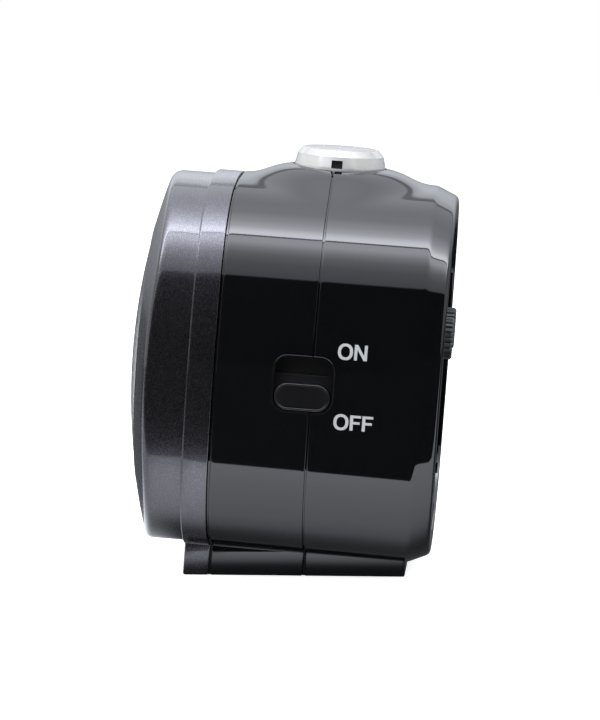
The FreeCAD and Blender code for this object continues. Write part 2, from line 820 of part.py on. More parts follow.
def hand(y, degrees, length, widths, tail, bore, boss):
    """Tapered hand with its boss, from its rear face at y + hand_thick."""
    ahead = clock_direction(degrees)
    side = clock_direction(degrees + 90)
    corners_out = [side * (-widths[0] / 2) - ahead * tail, side * (widths[0] / 2) - ahead * tail,
                   side * (widths[1] / 2) + ahead * length * 0.72, ahead * length,
                   side * (-widths[1] / 2) + ahead * length * 0.72]
    points = [point + Vector(0, y, 0) for point in corners_out]
    blade = Part.Face(Part.makePolygon(points + points[:1])).extrude(Vector(0, hand_thick, 0))
    blade = blade.fuse(cylinder(boss, hand_thick, 0, y, 0))
    if bore:
        blade = blade.cut(cylinder(bore, 5, 0, y - 1, 0))
    return blade.removeSplitter()


def second_hand():
    """Thin seconds hand with a round counterweight, capped over the arbor."""
    blade = hand(second_hand_y, second_angle, second_hand_length, (0.9, 0.5), 7.0, 0, 1.7)
    back = clock_direction(second_angle) * (-8.0)
    weight = cylinder(1.6, hand_thick, back.x, second_hand_y, back.z)
    return blade.fuse(weight).removeSplitter()


def shaft_place(name):
    """Place (x, z) of a shaft in the movement."""
    if name == "centre":
        return (0.0, 0.0)
    if name == "third":
        return polar((0.0, 0.0), third_distance, third_angle)
    if name == "fifth":
        return polar((0.0, 0.0), fifth_distance, fifth_angle)
    if name == "rotor":
        return polar(shaft_place("fifth"), rotor_distance, rotor_angle)
    if name == "time":
        return (knob_x, knob_height_above_axis)
    if name == "alarm":
        return (-knob_x, knob_height_above_axis)
    reach = math.hypot(knob_x, knob_height_above_axis)
    along = (minute_distance ** 2 + reach ** 2 - time_distance ** 2) / (2 * reach)
    lift = math.degrees(math.acos(along / minute_distance))
    return polar((0.0, 0.0), minute_distance, angle_of(shaft_place("time")) + lift)


def angle_of(place_xz):
    """Direction of a place from the axis, in degrees."""
    return math.degrees(math.atan2(place_xz[1], place_xz[0]))


def polar(start, distance, degrees):
    """Place at a distance and a direction from another."""
    turn = math.radians(degrees)
    return (start[0] + distance * math.cos(turn), start[1] + distance * math.sin(turn))


def pitch_module(pair):
    """Module of a meshing pair, from its shaft distance and its teeth."""
    if pair == "rotor":
        return 2 * rotor_distance / (rotor_teeth + fifth_wheel_teeth)
    if pair == "fifth":
        return 2 * fifth_distance / (fifth_pinion_teeth + second_wheel_teeth)
    if pair == "second":
        return 2 * third_distance / (second_pinion_teeth + third_wheel_teeth)
    if pair == "third":
        return 2 * third_distance / (third_pinion_teeth + centre_wheel_teeth)
    if pair == "minute":
        return 2 * minute_distance / (cannon_teeth + minute_wheel_teeth)
    if pair == "hour":
        return 2 * minute_distance / (minute_pinion_teeth + hour_wheel_teeth)
    return 2 * alarm_distance / (alarm_pinion_teeth + alarm_wheel_teeth)


def gear(teeth, module, where, number, phase):
    """Spur wheel of straight-flanked teeth in a layer, with one tooth at the angle phase."""
    pitch = module * teeth / 2
    tip = pitch + tooth_rise * module
    root = pitch - tooth_root * module
    half = tooth_share * math.pi * module / 2
    tip_half = (half - tooth_slope * tooth_rise * module) / tip
    root_half = (half + tooth_slope * tooth_root * module) / root
    y = layer(number)
    points = []
    for tooth in range(teeth):
        centre = math.radians(phase + 360.0 * tooth / teeth)
        for radius, turn in ((root, -root_half), (tip, -tip_half), (tip, tip_half), (root, root_half)):
            points.append(Vector(where[0] + radius * math.cos(centre + turn), y,
                                 where[1] + radius * math.sin(centre + turn)))
    return Part.Face(Part.makePolygon(points + points[:1])).extrude(Vector(0, gear_thick, 0))


def mesh_phase(teeth, phase, start, end, other_teeth):
    """Phase of a wheel at end that meshes with one at start, which has its own teeth and phase."""
    line = math.degrees(math.atan2(end[1] - start[1], end[0] - start[0]))
    behind = ((line - phase) * teeth / 360.0) % 1.0
    return line + 180.0 + (behind + 0.5) * 360.0 / other_teeth


def bored(shape, radius, where):
    """Piece with a hole along the drum's axis."""
    return shape.cut(cylinder(radius, 60, where[0], plate_y - 20, where[1]))


def movement_wheels():
    """Every wheel of the movement, by node name, in mesh at rest."""
    centre = shaft_place("centre")
    third = shaft_place("third")
    fifth = shaft_place("fifth")
    rotor_at = shaft_place("rotor")
    minute = shaft_place("minute")
    time_at = shaft_place("time")
    alarm_at = shaft_place("alarm")
    fine = run_clearance
    wheels = {}

    phase = mesh_phase(second_wheel_teeth, 0, centre, fifth, fifth_pinion_teeth)
    pinion = gear(fifth_pinion_teeth, pitch_module("fifth"), fifth, 7, phase)
    wheel = gear(fifth_wheel_teeth, pitch_module("rotor"), fifth, 8, 0)
    collar = cylinder(post_shaft + 0.4, layer(8) - layer(7), fifth[0], layer(7), fifth[1])
    wheels["fifth_wheel"] = bored(pinion.fuse(wheel).fuse(collar), post_shaft + fine, fifth)

    phase = mesh_phase(fifth_wheel_teeth, 0, fifth, rotor_at, rotor_teeth)
    pinion = gear(rotor_teeth, pitch_module("rotor"), rotor_at, 8, phase)
    magnet = cylinder(rotor_magnet_radius, layer(7) - layer(4), rotor_at[0], layer(4), rotor_at[1])
    spindle = cylinder(pivot_radius, cover_y + pivot_reach - layer(2), rotor_at[0], layer(2), rotor_at[1])
    wheels["rotor"] = pinion.fuse(magnet).fuse(spindle)

    wheel = gear(second_wheel_teeth, pitch_module("fifth"), centre, 7, 0)
    pinion = gear(second_pinion_teeth, pitch_module("second"), centre, 6, 0)
    start = second_hand_y + hand_thick
    arbor = cylinder(arbor_radius, cover_y + pivot_reach - start, 0, start, 0)
    collar = cylinder(arbor_radius + 0.3, layer(7) - layer(6), 0, layer(6), 0)
    wheels["second_wheel"] = wheel.fuse(pinion).fuse(arbor).fuse(collar)

    phase = mesh_phase(second_pinion_teeth, 0, centre, third, third_wheel_teeth)
    wheel = gear(third_wheel_teeth, pitch_module("second"), third, 6, phase)
    pinion = gear(third_pinion_teeth, pitch_module("third"), third, 5, 0)
    spindle = cylinder(pivot_radius, cover_y + pivot_reach - layer(2), third[0], layer(2), third[1])
    wheels["third_wheel"] = wheel.fuse(pinion).fuse(spindle)

    phase = mesh_phase(third_pinion_teeth, 0, third, centre, centre_wheel_teeth)
    wheel = gear(centre_wheel_teeth, pitch_module("third"), centre, 5, phase)
    pinion = gear(cannon_teeth, pitch_module("minute"), centre, 4, 0)
    start = minute_hand_y
    pipe = cylinder(minute_pipe, layer(5) + gear_thick - start, 0, start, 0)
    wheels["centre_wheel"] = bored(wheel.fuse(pinion).fuse(pipe), arbor_radius + fine, centre)

    minute_phase = mesh_phase(cannon_teeth, 0, centre, minute, minute_wheel_teeth)
    wheel = gear(minute_wheel_teeth, pitch_module("minute"), minute, 4, minute_phase)
    pinion = gear(minute_pinion_teeth, pitch_module("hour"), minute, 3, 0)
    collar = cylinder(post_shaft + 0.35, layer(4) - layer(3), minute[0], layer(3), minute[1])
    wheels["minute_wheel"] = bored(wheel.fuse(pinion).fuse(collar), post_shaft + fine, minute)

    phase = mesh_phase(minute_pinion_teeth, 0, minute, centre, hour_wheel_teeth)
    wheel = gear(hour_wheel_teeth, pitch_module("hour"), centre, 3, phase)
    pipe = cylinder(hour_pipe, layer(3) + gear_thick - hour_hand_y, 0, hour_hand_y, 0)
    wheels["hour_wheel"] = bored(wheel.fuse(pipe), minute_pipe + fine, centre)

    wheel = gear(alarm_wheel_teeth, pitch_module("alarm"), centre, 1, 0)
    pipe = cylinder(alarm_pipe, layer(1) + gear_thick - alarm_hand_y, 0, alarm_hand_y, 0)
    wheels["alarm_wheel"] = bored(wheel.fuse(pipe), hour_pipe + fine, centre)

    phase = mesh_phase(minute_wheel_teeth, minute_phase, minute, time_at, time_pinion_teeth)
    pinion = gear(time_pinion_teeth, pitch_module("minute"), time_at, 4, phase)
    wheels["time_set_stem"] = stem(time_at, 4, pinion)
    phase = mesh_phase(alarm_wheel_teeth, 0, centre, alarm_at, alarm_pinion_teeth)
    pinion = gear(alarm_pinion_teeth, pitch_module("alarm"), alarm_at, 1, phase)
    wheels["alarm_set_stem"] = stem(alarm_at, 1, pinion)
    return wheels


def stem(where, number, pinion):
    """Long stem from its pinion in the movement to its knob at the rear, with a thin front pivot."""
    front = layer(number)
    rod = cylinder(stem_radius, recess_y + knob_skirt_gap + stem_depth - front, where[0], front, where[1])
    pivot_front = plate_y + 0.6 if number == 1 else layer(2) + 0.2
    pivot = cylinder(pivot_radius, front - pivot_front, where[0], pivot_front, where[1])
    return rod.fuse(pinion).fuse(pivot)


def ridged_wire(where, radius, y):
    """Outline of a setting knob: ridges with sloped grooves between them."""
    points = []
    for number in range(knob_ridges):
        for turn in (-0.24, 0.24):
            x, z = polar(where, radius, 360.0 * (number + turn) / knob_ridges)
            points.append(Vector(x, y, z))
        x, z = polar(where, radius - knob_ridge_depth, 360.0 * (number + 0.5) / knob_ridges)
        points.append(Vector(x, y, z))
    return Part.makePolygon(points + points[:1])


def setting_knob(side):
    """Ridged knob on a stem behind the case, with a sloped rear edge."""
    where = (side * knob_x, knob_height_above_axis)
    y = recess_y + knob_skirt_gap
    edge_y = y + knob_length - knob_edge
    knob = Part.Face(ridged_wire(where, knob_radius, y)).extrude(Vector(0, edge_y - y, 0))
    wires = [ridged_wire(where, knob_radius, edge_y),
             ridged_wire(where, knob_radius - knob_edge, y + knob_length)]
    knob = knob.fuse(Part.makeLoft(wires, True, True))
    return knob.cut(cylinder(stem_radius, stem_depth, where[0], y, where[1]))


def holder():
    """Plate behind the dial, screwed to the bezel's posts, that carries the movement."""
    plate = prism(bezel_inset + wall + 0.2, holder_y, plate_y)
    plate = plate.cut(cylinder(bushing_radius + lip_gap, 10, 0, holder_y - 5, 0))
    for x, z in corners(post_inset):
        plate = plate.cut(cylinder(post_hole_radius, 10, x, holder_y - 5, z))
    return plate


def holder_screws():
    """Four small screws from the holder plate into the bezel's posts."""
    screws = []
    for x, z in corners(post_inset):
        head = cylinder(2.0, 1.1, x, plate_y, z)
        shank = cylinder(post_hole_radius - 0.05, holder_thick + 2.2, x, holder_y - 2.2, z)
        screws.append(head.fuse(shank))
    return Part.makeCompound(screws)


def front_plate():
    """Front plate of the movement with its bushing, and bearings for the alarm stem."""
    size = 2 * movement_half
    plate = box((size, plate_thick, size), 0, plate_y, -movement_half)
    plate = plate.fuse(cylinder(bushing_radius, plate_y - dial_y + 0.5, 0, dial_y - 0.5, 0))
    plate = plate.cut(cylinder(alarm_pipe + run_clearance, 20, 0, dial_y - 5, 0))
    x, z = shaft_place("alarm")
    return plate.cut(cylinder(pivot_radius + run_clearance, 10, x, plate_y + 0.5, z))


def bridge():
    """Plate inside the movement that carries the motion work, on four posts from the front plate."""
    half = movement_half - cover_wall - bridge_gap
    front = plate_y + plate_thick
    plate = box((2 * half, gear_thick, bridge_height), 0, layer(2), bridge_low)
    for x in (bridge_post_inset - half, half - bridge_post_inset):
        for z in (bridge_low + bridge_post_inset, bridge_low + bridge_height - bridge_post_inset):
            plate = plate.fuse(cylinder(bridge_post_radius, layer(2) - front, x, front, z))
    x, z = shaft_place("minute")
    plate = plate.fuse(cylinder(post_shaft, 2 * gear_thick + 2 * layer_gap, x, layer(3) - layer_gap, z))
    plate = plate.cut(cylinder(hour_pipe + run_clearance, 10, 0, layer(2) - 5, 0))
    x, z = shaft_place("alarm")
    plate = plate.cut(cylinder(stem_radius + run_clearance, 10, x, layer(2) - 5, z))
    for name in ("third", "rotor", "time"):
        x, z = shaft_place(name)
        plate = plate.cut(cylinder(pivot_radius + run_clearance, gear_thick, x, layer(2), z))
    return plate


def back_cover():
    """Rear housing of the movement, with bearings, the fifth wheel's post and the board's posts."""
    size = 2 * movement_half
    front = plate_y + plate_thick
    cover = box((size, movement_rear - front, size), 0, front, -movement_half)
    room = size - 2 * cover_wall
    cover = cover.cut(box((room, cover_y - front + 5, room), 0, front - 5, -room / 2))
    for name in ("third", "rotor", "centre"):
        x, z = shaft_place(name)
        bearing = arbor_radius if name == "centre" else pivot_radius
        cover = cover.cut(cylinder(bearing + run_clearance, 0.8, x, cover_y, z))
    for name in ("time", "alarm"):
        x, z = shaft_place(name)
        cover = cover.cut(cylinder(stem_radius + run_clearance, 10, x, cover_y - 2, z))
    x, z = shaft_place("fifth")
    cover = cover.fuse(cylinder(post_shaft, cover_y - layer(7), x, layer(7), z))
    for x, z in board_posts():
        cover = cover.fuse(cylinder(1.2, cover_y - board_y - board_thick, x, board_y + board_thick, z))
    return cover


def board_posts():
    """Posts that the circuit board stands on."""
    return [(board_place[0] + 2, board_place[1] + 2),
            (board_place[0] + board_size[0] - 2, board_place[1] + board_size[1] - 2)]


def circuit_board():
    """Circuit board of the movement, with its sealed chip."""
    corner = Vector(board_place[0], board_y, board_place[1])
    board = Part.makeBox(board_size[0], board_thick, board_size[1], corner)
    chip = cylinder(2.4, 0.8, board_place[0] + 5, board_y - 0.8, board_place[1] + 9)
    return board.fuse(chip)


def quartz_can():
    """Cylindrical quartz crystal can lying on the board."""
    start = Vector(board_place[0] + 7.0, board_y - quartz_radius, board_place[1] + 3.0)
    return Part.makeCylinder(quartz_radius, 6.0, start, Vector(1, 0, 0))


def stator():
    """Flat stator round the rotor's magnet, with an arm to each end of the coil."""
    x, z = shaft_place("rotor")
    y = stator_y
    pad = cylinder(rotor_magnet_radius + rotor_gap + 2.0, stator_thick, x, y, z)
    low = coil_place[1]
    for side in (-1, 1):
        end_x = coil_place[0] + side * (coil_length / 2 + 1.2)
        start_x = x + side * 3.5
        points = [Vector(start_x - 1.2, y, z - 2), Vector(start_x + 1.2, y, z - 2),
                  Vector(end_x + 1.0, y, low + 4.2), Vector(end_x + 1.0, y, low - 1.5),
                  Vector(end_x - 1.0, y, low - 1.5), Vector(end_x - 1.0, y, low + 4.2)]
        arm = Part.Face(Part.makePolygon(points + points[:1])).extrude(Vector(0, stator_thick, 0))
        pad = pad.fuse(arm)
    pad = pad.cut(cylinder(rotor_magnet_radius + rotor_gap, 5, x, y - 1, z))
    return pad.removeSplitter()


def coil():
    """Coil on its bobbin, with the core bar that lies on the stator's arms."""
    y = stator_y + stator_thick
    middle = y + 0.35
    x = coil_place[0]
    z = coil_place[1]
    core = Part.makeBox(coil_length + 4.4, 0.7, 2.4, Vector(x - coil_length / 2 - 2.2, y, z - 1.2))
    end = Vector(x - coil_length / 2, middle, z)
    body = Part.makeCylinder(coil_radius - 0.4, coil_length, end, Vector(1, 0, 0))
    for start in (x - coil_length / 2, x + coil_length / 2 - 0.8):
        body = body.fuse(Part.makeCylinder(coil_radius, 0.8, Vector(start, middle, z), Vector(1, 0, 0)))
    return body.fuse(core)


def export(name, shape):
    """Writes one piece, leaned into the part's frame."""
    if not shape.isValid():
        raise ValueError(name + " is not a valid solid")
    place(shape).exportStep("parts/" + name + ".step")


def main():
    """Builds and writes every piece of the clock."""
    os.makedirs("parts", exist_ok=True)
    body = case_body()
    pieces = {
        "front_bezel": bezel(),
        "middle_case": middle_case(body),
        "rear_case": rear_case(body),
        "case_screws": case_screws(),
        "crystal": crystal(),
        "dial_ring": dial_ring(),
        "dial": dial(),
        "alarm_hand": hand(alarm_hand_y, alarm_angle, alarm_hand_length, alarm_hand_widths, 3.0,
                           alarm_pipe, 3.4),
        "hour_hand": hand(hour_hand_y, hour_angle, hour_hand_length, hour_hand_widths, 0.0, hour_pipe, 2.9),
        "minute_hand": hand(minute_hand_y, minute_angle, minute_hand_length, minute_hand_widths, 0.0,
                            minute_pipe, 2.4),
        "second_hand": second_hand(),
        "movement_holder": holder(),
        "holder_screws": holder_screws(),
        "movement_front_plate": front_plate(),
        "movement_bridge": bridge(),
        "movement_back_cover": back_cover(),
        "circuit_board": circuit_board(),
        "quartz_can": quartz_can(),
        "stator": stator(),
        "coil": coil(),
        "time_set_knob": setting_knob(1),
        "alarm_set_knob": setting_knob(-1),
        "snooze_button": snooze_button(),
        "snooze_spring": snooze_spring(),
        "snooze_bracket": snooze_bracket(),
        "snooze_switch": snooze_switch_block(),
        "alarm_switch": alarm_switch(),
        "switch_cage": switch_cage(),
        "battery_door": battery_door(),
        "battery_cell": battery_cell(),
        "pole_contact": pole_contact(),
        "spring_contact": spring_contact(),
        "sounder_ring": sounder_ring(),
        "sounder_disc": sounder_plate(),
    }
    pieces.update(movement_wheels())
    for name, shape in pieces.items():
        export(name, shape)


main()
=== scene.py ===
"""Looks of an analog alarm clock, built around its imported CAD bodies.

Sizes are millimetres in the drum's own frame: x sideways, y along the drum towards the rear, z across it.
Drum.to_row leans a point back and turns it into the metres of the row frame, where every mesh is stored.
"""

import json
import logging
from dataclasses import dataclass, field
from enum import Enum
from math import atan2, ceil, copysign, cos, dist, exp, hypot, log, pi, radians, sin, sqrt, tan
from typing import Callable, Optional, Sequence

import bmesh
import bpy
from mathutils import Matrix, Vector

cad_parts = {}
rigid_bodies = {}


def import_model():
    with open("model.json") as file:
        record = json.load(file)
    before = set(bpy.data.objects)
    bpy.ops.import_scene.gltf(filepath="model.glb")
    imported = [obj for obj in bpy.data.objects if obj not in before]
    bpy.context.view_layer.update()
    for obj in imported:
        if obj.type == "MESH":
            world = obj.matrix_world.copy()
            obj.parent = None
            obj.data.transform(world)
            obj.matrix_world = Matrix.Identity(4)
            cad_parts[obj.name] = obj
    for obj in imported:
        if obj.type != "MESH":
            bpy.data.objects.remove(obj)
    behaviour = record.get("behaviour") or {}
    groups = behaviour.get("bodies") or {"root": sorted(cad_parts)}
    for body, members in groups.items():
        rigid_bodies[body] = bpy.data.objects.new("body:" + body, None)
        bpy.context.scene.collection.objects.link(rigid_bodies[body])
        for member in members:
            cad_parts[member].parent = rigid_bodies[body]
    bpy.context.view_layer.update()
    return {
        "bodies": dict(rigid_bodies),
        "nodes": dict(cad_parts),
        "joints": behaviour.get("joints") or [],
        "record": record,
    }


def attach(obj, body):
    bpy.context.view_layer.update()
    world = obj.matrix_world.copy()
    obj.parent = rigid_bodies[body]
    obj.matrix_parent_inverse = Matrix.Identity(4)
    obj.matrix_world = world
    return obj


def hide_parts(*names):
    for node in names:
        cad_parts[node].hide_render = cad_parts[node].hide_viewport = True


Pair = tuple[float, float]
Triple = tuple[float, float, float]
Stops = tuple[Pair, ...]
Line = list[Pair]
Ring = list[Vector]
Piece = bpy.types.Object
Socket = bpy.types.NodeSocket

LOG = logging.getLogger("alarm_clock")
MM = 0.001
GLOW = "glow"
WHITE = (1.0, 1.0, 1.0, 1.0)
BOX_FACES = ((0, 1, 3, 2), (4, 6, 7, 5), (0, 4, 5, 1), (2, 3, 7, 6), (0, 2, 6, 4), (1, 5, 7, 3))


class Legend(Enum):
    """Words printed beside the alarm switch."""

    ON = "ON"
    OFF = "OFF"


# ---------------------------------------------------------------- finishes


class NodeTree:
    """Small helper that adds and links shader nodes of one material."""

    def __init__(self, name: str) -> None:
        """Starts a material with a Principled shader.

        Args:
            name: Material name.
        """
        self.material = bpy.data.materials.new(name)
        self.material.use_nodes = True
        self.nodes = self.material.node_tree.nodes
        self.shader = self.nodes["Principled BSDF"]

    def add(self, kind: str, **values: object) -> bpy.types.Node:
        """Adds a node and sets its inputs by name, or its properties where no input has the name.

        Args:
            kind: Node type without the leading ShaderNode.
            **values: Input or property values, underscores standing for blanks.

        Returns:
            The new node.
        """
        node = self.nodes.new("ShaderNode" + kind)
        for key, value in values.items():
            label = key.replace("_", " ")
            if label in node.inputs:
                node.inputs[label].default_value = value
            else:
                setattr(node, key, value)
        return node

    def set(self, **values: object) -> None:
        """Sets sockets of the Principled shader, underscores standing for blanks."""
        for key, value in values.items():
            self.shader.inputs[key.replace("_", " ")].default_value = value

    def link(self, start: Socket, end: Socket) -> None:
        """Links two sockets."""
        self.material.node_tree.links.new(start, end)

    def texture(self, kind: str, stretch: Optional[Triple] = None, **values: object) -> bpy.types.Node:
        """Adds a texture in object coordinates.

        Args:
            kind: Texture type, such as Noise.
            stretch: Scale along each axis, if any.
            **values: Input values, scales being per metre.

        Returns:
            The texture node.
        """
        place = self.add("TexCoord").outputs["Object"]
        if stretch:
            mapping = self.add("Mapping", Scale=stretch)
            self.link(place, mapping.inputs["Vector"])
            place = mapping.outputs["Vector"]
        node = self.add("Tex" + kind, **values)
        self.link(place, node.inputs["Vector"])
        return node

    def noise(self, scale: float) -> Socket:
        """Adds a cloudy noise of a scale per metre."""
        return self.texture("Noise", Scale=scale, Detail=3.0, Roughness=0.6).outputs["Fac"]

    def gloss(self, source: Socket, low: float, high: float) -> None:
        """Moves the shader's roughness with the middle range of a texture.

        Args:
            source: Texture output.
            low: Roughness at the texture's dark end.
            high: Roughness at its light end.
        """
        ramp = self.add("MapRange", From_Min=0.3, From_Max=0.7, To_Min=low, To_Max=high)
        self.link(source, ramp.inputs["Value"])
        self.link(ramp.outputs["Result"], self.shader.inputs["Roughness"])

    def tint(self, source: Socket, dark: Triple, light: Triple, places: Pair = (0.35, 0.68)) -> None:
        """Colours the shader between two tones by a texture.

        Args:
            source: Texture output.
            dark: Colour at its dark end.
            light: Colour at its light end.
            places: Texture values of both ends.
        """
        ramp = self.add("ValToRGB")
        for index, color in enumerate((dark, light)):
            ramp.color_ramp.elements[index].position = places[index]
            ramp.color_ramp.elements[index].color = (*color, 1.0)
        self.link(source, ramp.inputs["Fac"])
        self.link(ramp.outputs["Color"], self.shader.inputs["Base Color"])

    def bump(self, source: Socket, strength: float, distance: float) -> None:
        """Adds a bump from a texture to the shader.

        Args:
            source: Height output.
            strength: Bump strength.
            distance: Bump depth in metres.
        """
        node = self.add("Bump", Strength=strength, Distance=distance)
        self.link(source, node.inputs["Height"])
        self.link(node.outputs["Normal"], self.shader.inputs["Normal"])


def scaled(color: Triple, factor: float) -> Triple:
    """A colour made lighter or darker."""
    return (color[0] * factor, color[1] * factor, color[2] * factor)


@dataclass(frozen=True)
class Finish:
    """A finish with a name. Each kind of finish paints its own nodes."""

    name: str

    def make(self) -> bpy.types.Material:
        """Builds the material.

        Returns:
            The material.
        """
        tree = NodeTree(self.name)
        self.paint(tree)
        return tree.material

    def paint(self, tree: NodeTree) -> None:
        """Adds the nodes of the finish to a fresh material's tree."""
        raise NotImplementedError


@dataclass(frozen=True)
class MouldedPlastic(Finish):
    """Injection-moulded plastic: faint mottling, wandering gloss and a fine surface waviness."""

    color: Triple
    roughness: float = 0.3
    spread: float = 0.06
    grain: float = 900.0
    depth: float = 0.00001
    mottle: float = 0.12
    cloud_share: float = 0.12
    strength: float = 0.25

    def paint(self, tree: NodeTree) -> None:
        """Adds the plastic's nodes.

        Args:
            tree: Tree of a fresh material.
        """
        tree.set(IOR=1.5)
        cloud = tree.noise(self.grain * self.cloud_share)
        tree.tint(cloud, scaled(self.color, 1 - self.mottle), scaled(self.color, 1 + self.mottle))
        tree.gloss(cloud, self.roughness - self.spread / 2, self.roughness + self.spread / 2)
        tree.bump(tree.noise(self.grain), self.strength, self.depth)


@dataclass(frozen=True)
class SparklePaint(Finish):
    """Metallic paint under clear lacquer, with fine flakes that catch the light."""

    color: Triple
    flake: Triple
    roughness: float = 0.25
    flake_scale: float = 5200.0
    flake_places: Pair = (0.55, 0.98)
    lacquer: float = 0.7
    lacquer_roughness: float = 0.06

    def paint(self, tree: NodeTree) -> None:
        """Adds the paint's nodes.

        Args:
            tree: Tree of a fresh material.
        """
        tree.set(Metallic=0.9, Coat_Weight=self.lacquer, Coat_Roughness=self.lacquer_roughness)
        split = tree.add("SeparateColor")
        cells = tree.texture("Voronoi", Scale=self.flake_scale)
        tree.link(cells.outputs["Color"], split.inputs["Color"])
        tree.tint(split.outputs["Red"], self.color, self.flake, self.flake_places)
        tree.gloss(split.outputs["Green"], self.roughness - 0.03, self.roughness + 0.05)
        tree.bump(split.outputs["Blue"], 0.05, 0.00002)


@dataclass(frozen=True)
class PlatedMetal(Finish):
    """Bright metal or plating: slight clouding in colour and gloss."""

    color: Triple
    roughness: float = 0.08
    grain: float = 500.0
    depth: float = 0.000004
    metallic: float = 1.0

    def paint(self, tree: NodeTree) -> None:
        """Adds the metal's nodes.

        Args:
            tree: Tree of a fresh material.
        """
        tree.set(Metallic=self.metallic)
        cloud = tree.noise(self.grain * 0.3)
        tree.tint(cloud, scaled(self.color, 0.94), self.color)
        tree.gloss(cloud, self.roughness * 0.8, self.roughness * 1.3)
        tree.bump(tree.noise(self.grain), 0.2, self.depth)


@dataclass(frozen=True)
class BrushedMetal(Finish):
    """Metal with fine drawn lines along one axis."""

    color: Triple
    roughness: float = 0.3
    stretch: Triple = (1.0, 12.0, 12.0)

    def paint(self, tree: NodeTree) -> None:
        """Adds the metal's nodes.

        Args:
            tree: Tree of a fresh material.
        """
        tree.set(Metallic=1.0)
        lines = tree.texture("Noise", self.stretch, Scale=900.0, Detail=4.0).outputs["Fac"]
        tree.tint(lines, scaled(self.color, 0.85), self.color)
        tree.gloss(lines, self.roughness - 0.08, self.roughness + 0.08)
        tree.bump(lines, 0.15, 0.00001)


@dataclass(frozen=True)
class ClearPlastic(Finish):
    """Clear moulded cover with a faint surface ripple."""

    def paint(self, tree: NodeTree) -> None:
        """Adds the cover's nodes."""
        tree.set(Transmission_Weight=1.0, IOR=1.49, Base_Color=(0.97, 0.985, 0.99, 1.0))
        tree.gloss(tree.noise(90.0), 0.0, 0.02)


@dataclass(frozen=True)
class PrintedInk(Finish):
    """Screen-printed ink: flat, a little uneven at its edges."""

    color: Triple
    roughness: float = 0.45

    def paint(self, tree: NodeTree) -> None:
        """Adds the ink's nodes.

        Args:
            tree: Tree of a fresh material.
        """
        cloud = tree.noise(1500.0)
        tree.tint(cloud, scaled(self.color, 0.93), self.color)
        tree.gloss(cloud, self.roughness, self.roughness + 0.12)
        tree.bump(cloud, 0.1, 0.00001)


@dataclass(frozen=True)
class WoundWire(Finish):
    """Enamelled wire wound in close turns."""

    color: Triple
    turns: float = 900.0

    def paint(self, tree: NodeTree) -> None:
        """Adds the wire's nodes.

        Args:
            tree: Tree of a fresh material.
        """
        tree.set(Metallic=0.9)
        wave = tree.texture("Wave", Scale=self.turns, Distortion=0.3).outputs["Fac"]
        tree.tint(wave, scaled(self.color, 0.45), self.color)
        tree.gloss(wave, 0.25, 0.45)
        tree.bump(wave, 0.6, 0.00005)


@dataclass(frozen=True)
class SheetGlow(Finish):
    """Slightly cool glow of a studio sheet, as strong as each place of the sheet says."""

    color: Triple = (0.975, 1.0, 1.09)

    def paint(self, tree: NodeTree) -> None:
        """Puts the glow in place of the shader.

        Args:
            tree: Tree of a fresh material.
        """
        tree.nodes.remove(tree.shader)
        level = tree.add("Attribute", attribute_name=GLOW)
        glow = tree.add("Emission", Color=(*self.color, 1.0))
        tree.link(level.outputs["Fac"], glow.inputs["Strength"])
        tree.link(glow.outputs["Emission"], tree.nodes["Material Output"].inputs["Surface"])
        tree.material.cycles.emission_sampling = "NONE"


